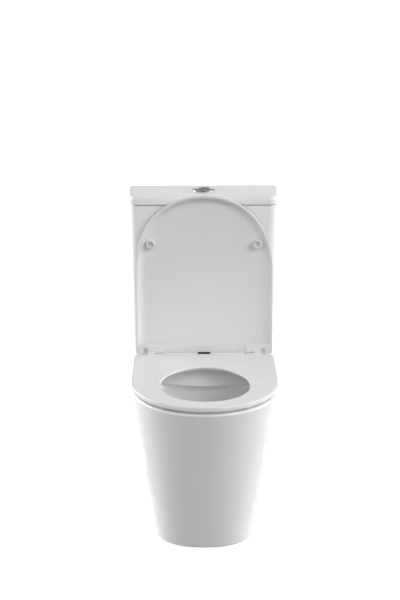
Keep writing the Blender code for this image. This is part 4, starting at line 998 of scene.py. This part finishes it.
def build_release_key():
    """Push key of the hinge, with fine grip lines across its front."""
    key = across("release_key", KEY_HALF, (-0.0044, 0.0016), KEY_Z, 0.0010, 4)
    join(key, across("tongue", 0.008, (-0.0036, 0.0008), (0.4185, 0.4315), 0.0003))
    y = HINGE.y
    lines = [block("line", (x - 0.0004, y - 0.0050, 0.4306), (x + 0.0004, y - 0.0042, 0.4330), 0.0001)
             for x in [RIB_PITCH * k for k in range(-6, 7)]]
    cut(key, *lines)
    done(key, BLACK_PLASTIC, "release", "black_plastic", "release_button")


def build_hinge():
    build_hinge_bar()
    build_release_key()
    low = RIM_Z + GAP
    profile = [(0.0042, low), (0.0205, low), (0.0205, 0.4136), (0.0190, 0.4150), (0.0042, 0.4150)]
    for side, word in ((-1, "left"), (1, "right")):
        disc = lathe("hinge_base_" + word, profile, (side * POST_X, HINGE.y, 0), sides=72, radius=0.0008)
        done(disc, STEEL, "base", "steel", "hinge_base_disc_" + word)


# ------------------------------------------------------------------ small parts kept from the frame
LOOKS = {
    "valve_plastic": VALVE_WHITE, "accent_plastic": ACCENT, "black_rubber": BLACK_RUBBER, "steel": STEEL,
    "brass": BRASS, "black_plastic": BLACK_PLASTIC, "chrome": RING_CHROME, "white_rubber": SOFT_WHITE,
    "ceramic": CERAMIC, "seat_plastic": SEAT_WHITE,
}


def refine_rest():
    """Every node still showing gets a finer copy, with welded faces and rounded edges."""
    slots = {part["node"]: part["material_slot"] for part in frame["record"]["subparts"]}
    for node, source in frame["nodes"].items():
        if source.hide_render:
            continue
        bm = bmesh.new()
        bm.from_mesh(source.data)
        bmesh.ops.remove_doubles(bm, verts=bm.verts, dist=0.00002)
        bmesh.ops.dissolve_limit(bm, angle_limit=math.radians(1.0), verts=bm.verts, edges=bm.edges)
        piece = link(node + "_fine", bm)
        soften(piece, 0.00035, 2, 40)
        done(piece, LOOKS[slots[node]], body_of(source)[0], slots[node], node)


# ------------------------------------------------------------------ floor, light and camera
FLOOR_HALF = 40.0


def build_stage():
    """Wide pale floor that does not light the object from below."""
    bm = bmesh.new()
    bmesh.ops.create_grid(bm, x_segments=24, y_segments=24, size=FLOOR_HALF)
    floor = link("floor", bm)
    floor.data.materials.append(FLOOR)
    floor.visible_diffuse = False
    FLOOR.cycles.emission_sampling = "NONE"


# outer and core radius of a soft box, in degrees
WIDE = (38, 12)
HIGH = (34, 10)
SMALL = (22, 6)
# azimuth from the front towards +X and elevation in degrees, size, strength
SOFT_BOXES = [
    (-115, 8, WIDE, 5.0),
    (-80, 8, WIDE, 0.9),
    (-45, 35, HIGH, 0.8),
    (-10, 8, WIDE, 0.6),
    (30, 25, SMALL, 1.8),
    (50, 30, SMALL, 4.0),
    (90, 25, SMALL, 2.2),
    (95, 8, WIDE, 2.3),
    (100, 35, HIGH, 0.7),
    (140, 35, HIGH, 0.6),
    (165, 8, WIDE, 0.6),
]
AMBIENT = 0.02


def soft_box(tree, towards, azimuth, elevation, size, strength):
    """Light from a round patch of the surroundings that fades out towards its edge."""
    a = math.radians(azimuth)
    e = math.radians(elevation)
    dot = tree.nodes.new("ShaderNodeVectorMath")
    dot.operation = "DOT_PRODUCT"
    dot.inputs[1].default_value = (math.sin(a) * math.cos(e), -math.cos(a) * math.cos(e), math.sin(e))
    tree.links.new(towards, dot.inputs[0])
    ramp = tree.nodes.new("ShaderNodeMapRange")
    ramp.interpolation_type = "SMOOTHSTEP"
    ramp.inputs["From Min"].default_value = math.cos(math.radians(size[0]))
    ramp.inputs["From Max"].default_value = math.cos(math.radians(size[1]))
    ramp.inputs["To Max"].default_value = strength
    tree.links.new(dot.outputs["Value"], ramp.inputs["Value"])
    return ramp.outputs["Result"]


def build_light():
    """Studio round the object: strong soft boxes on both sides and weak ones in front and behind."""
    world = bpy.data.worlds.new("studio")
    bpy.context.scene.world = world
    world.use_nodes = True
    tree = world.node_tree
    towards = tree.nodes.new("ShaderNodeTexCoord").outputs["Generated"]
    level = tree.nodes.new("ShaderNodeValue").outputs[0]
    level.default_value = AMBIENT
    for spec in SOFT_BOXES:
        add = tree.nodes.new("ShaderNodeMath")
        add.operation = "ADD"
        tree.links.new(level, add.inputs[0])
        tree.links.new(soft_box(tree, towards, *spec), add.inputs[1])
        level = add.outputs[0]
    tree.links.new(level, tree.nodes["Background"].inputs["Color"])
    bpy.context.scene.view_settings.view_transform = "Standard"


CAMERA_PLACE = (-0.040, -3.597, 1.636)
CAMERA_TILT = math.radians(74.0)
CAMERA_TURN = math.radians(-0.64)


def build_camera():
    camera = bpy.data.cameras.new("camera")
    camera.sensor_fit = "VERTICAL"
    camera.sensor_height = 36.0
    camera.lens = 88.74
    camera.shift_x = -0.0077
    holder = bpy.data.objects.new("camera", camera)
    holder.location = CAMERA_PLACE
    holder.rotation_euler = (CAMERA_TILT, 0.0, CAMERA_TURN)
    bpy.context.scene.collection.objects.link(holder)
    bpy.context.scene.camera = holder


build_pan()
build_tank()
build_cistern_lid()
build_buttons()
build_seat()
build_lid()
build_hinge()
refine_rest()
build_stage()
build_light()
build_camera()
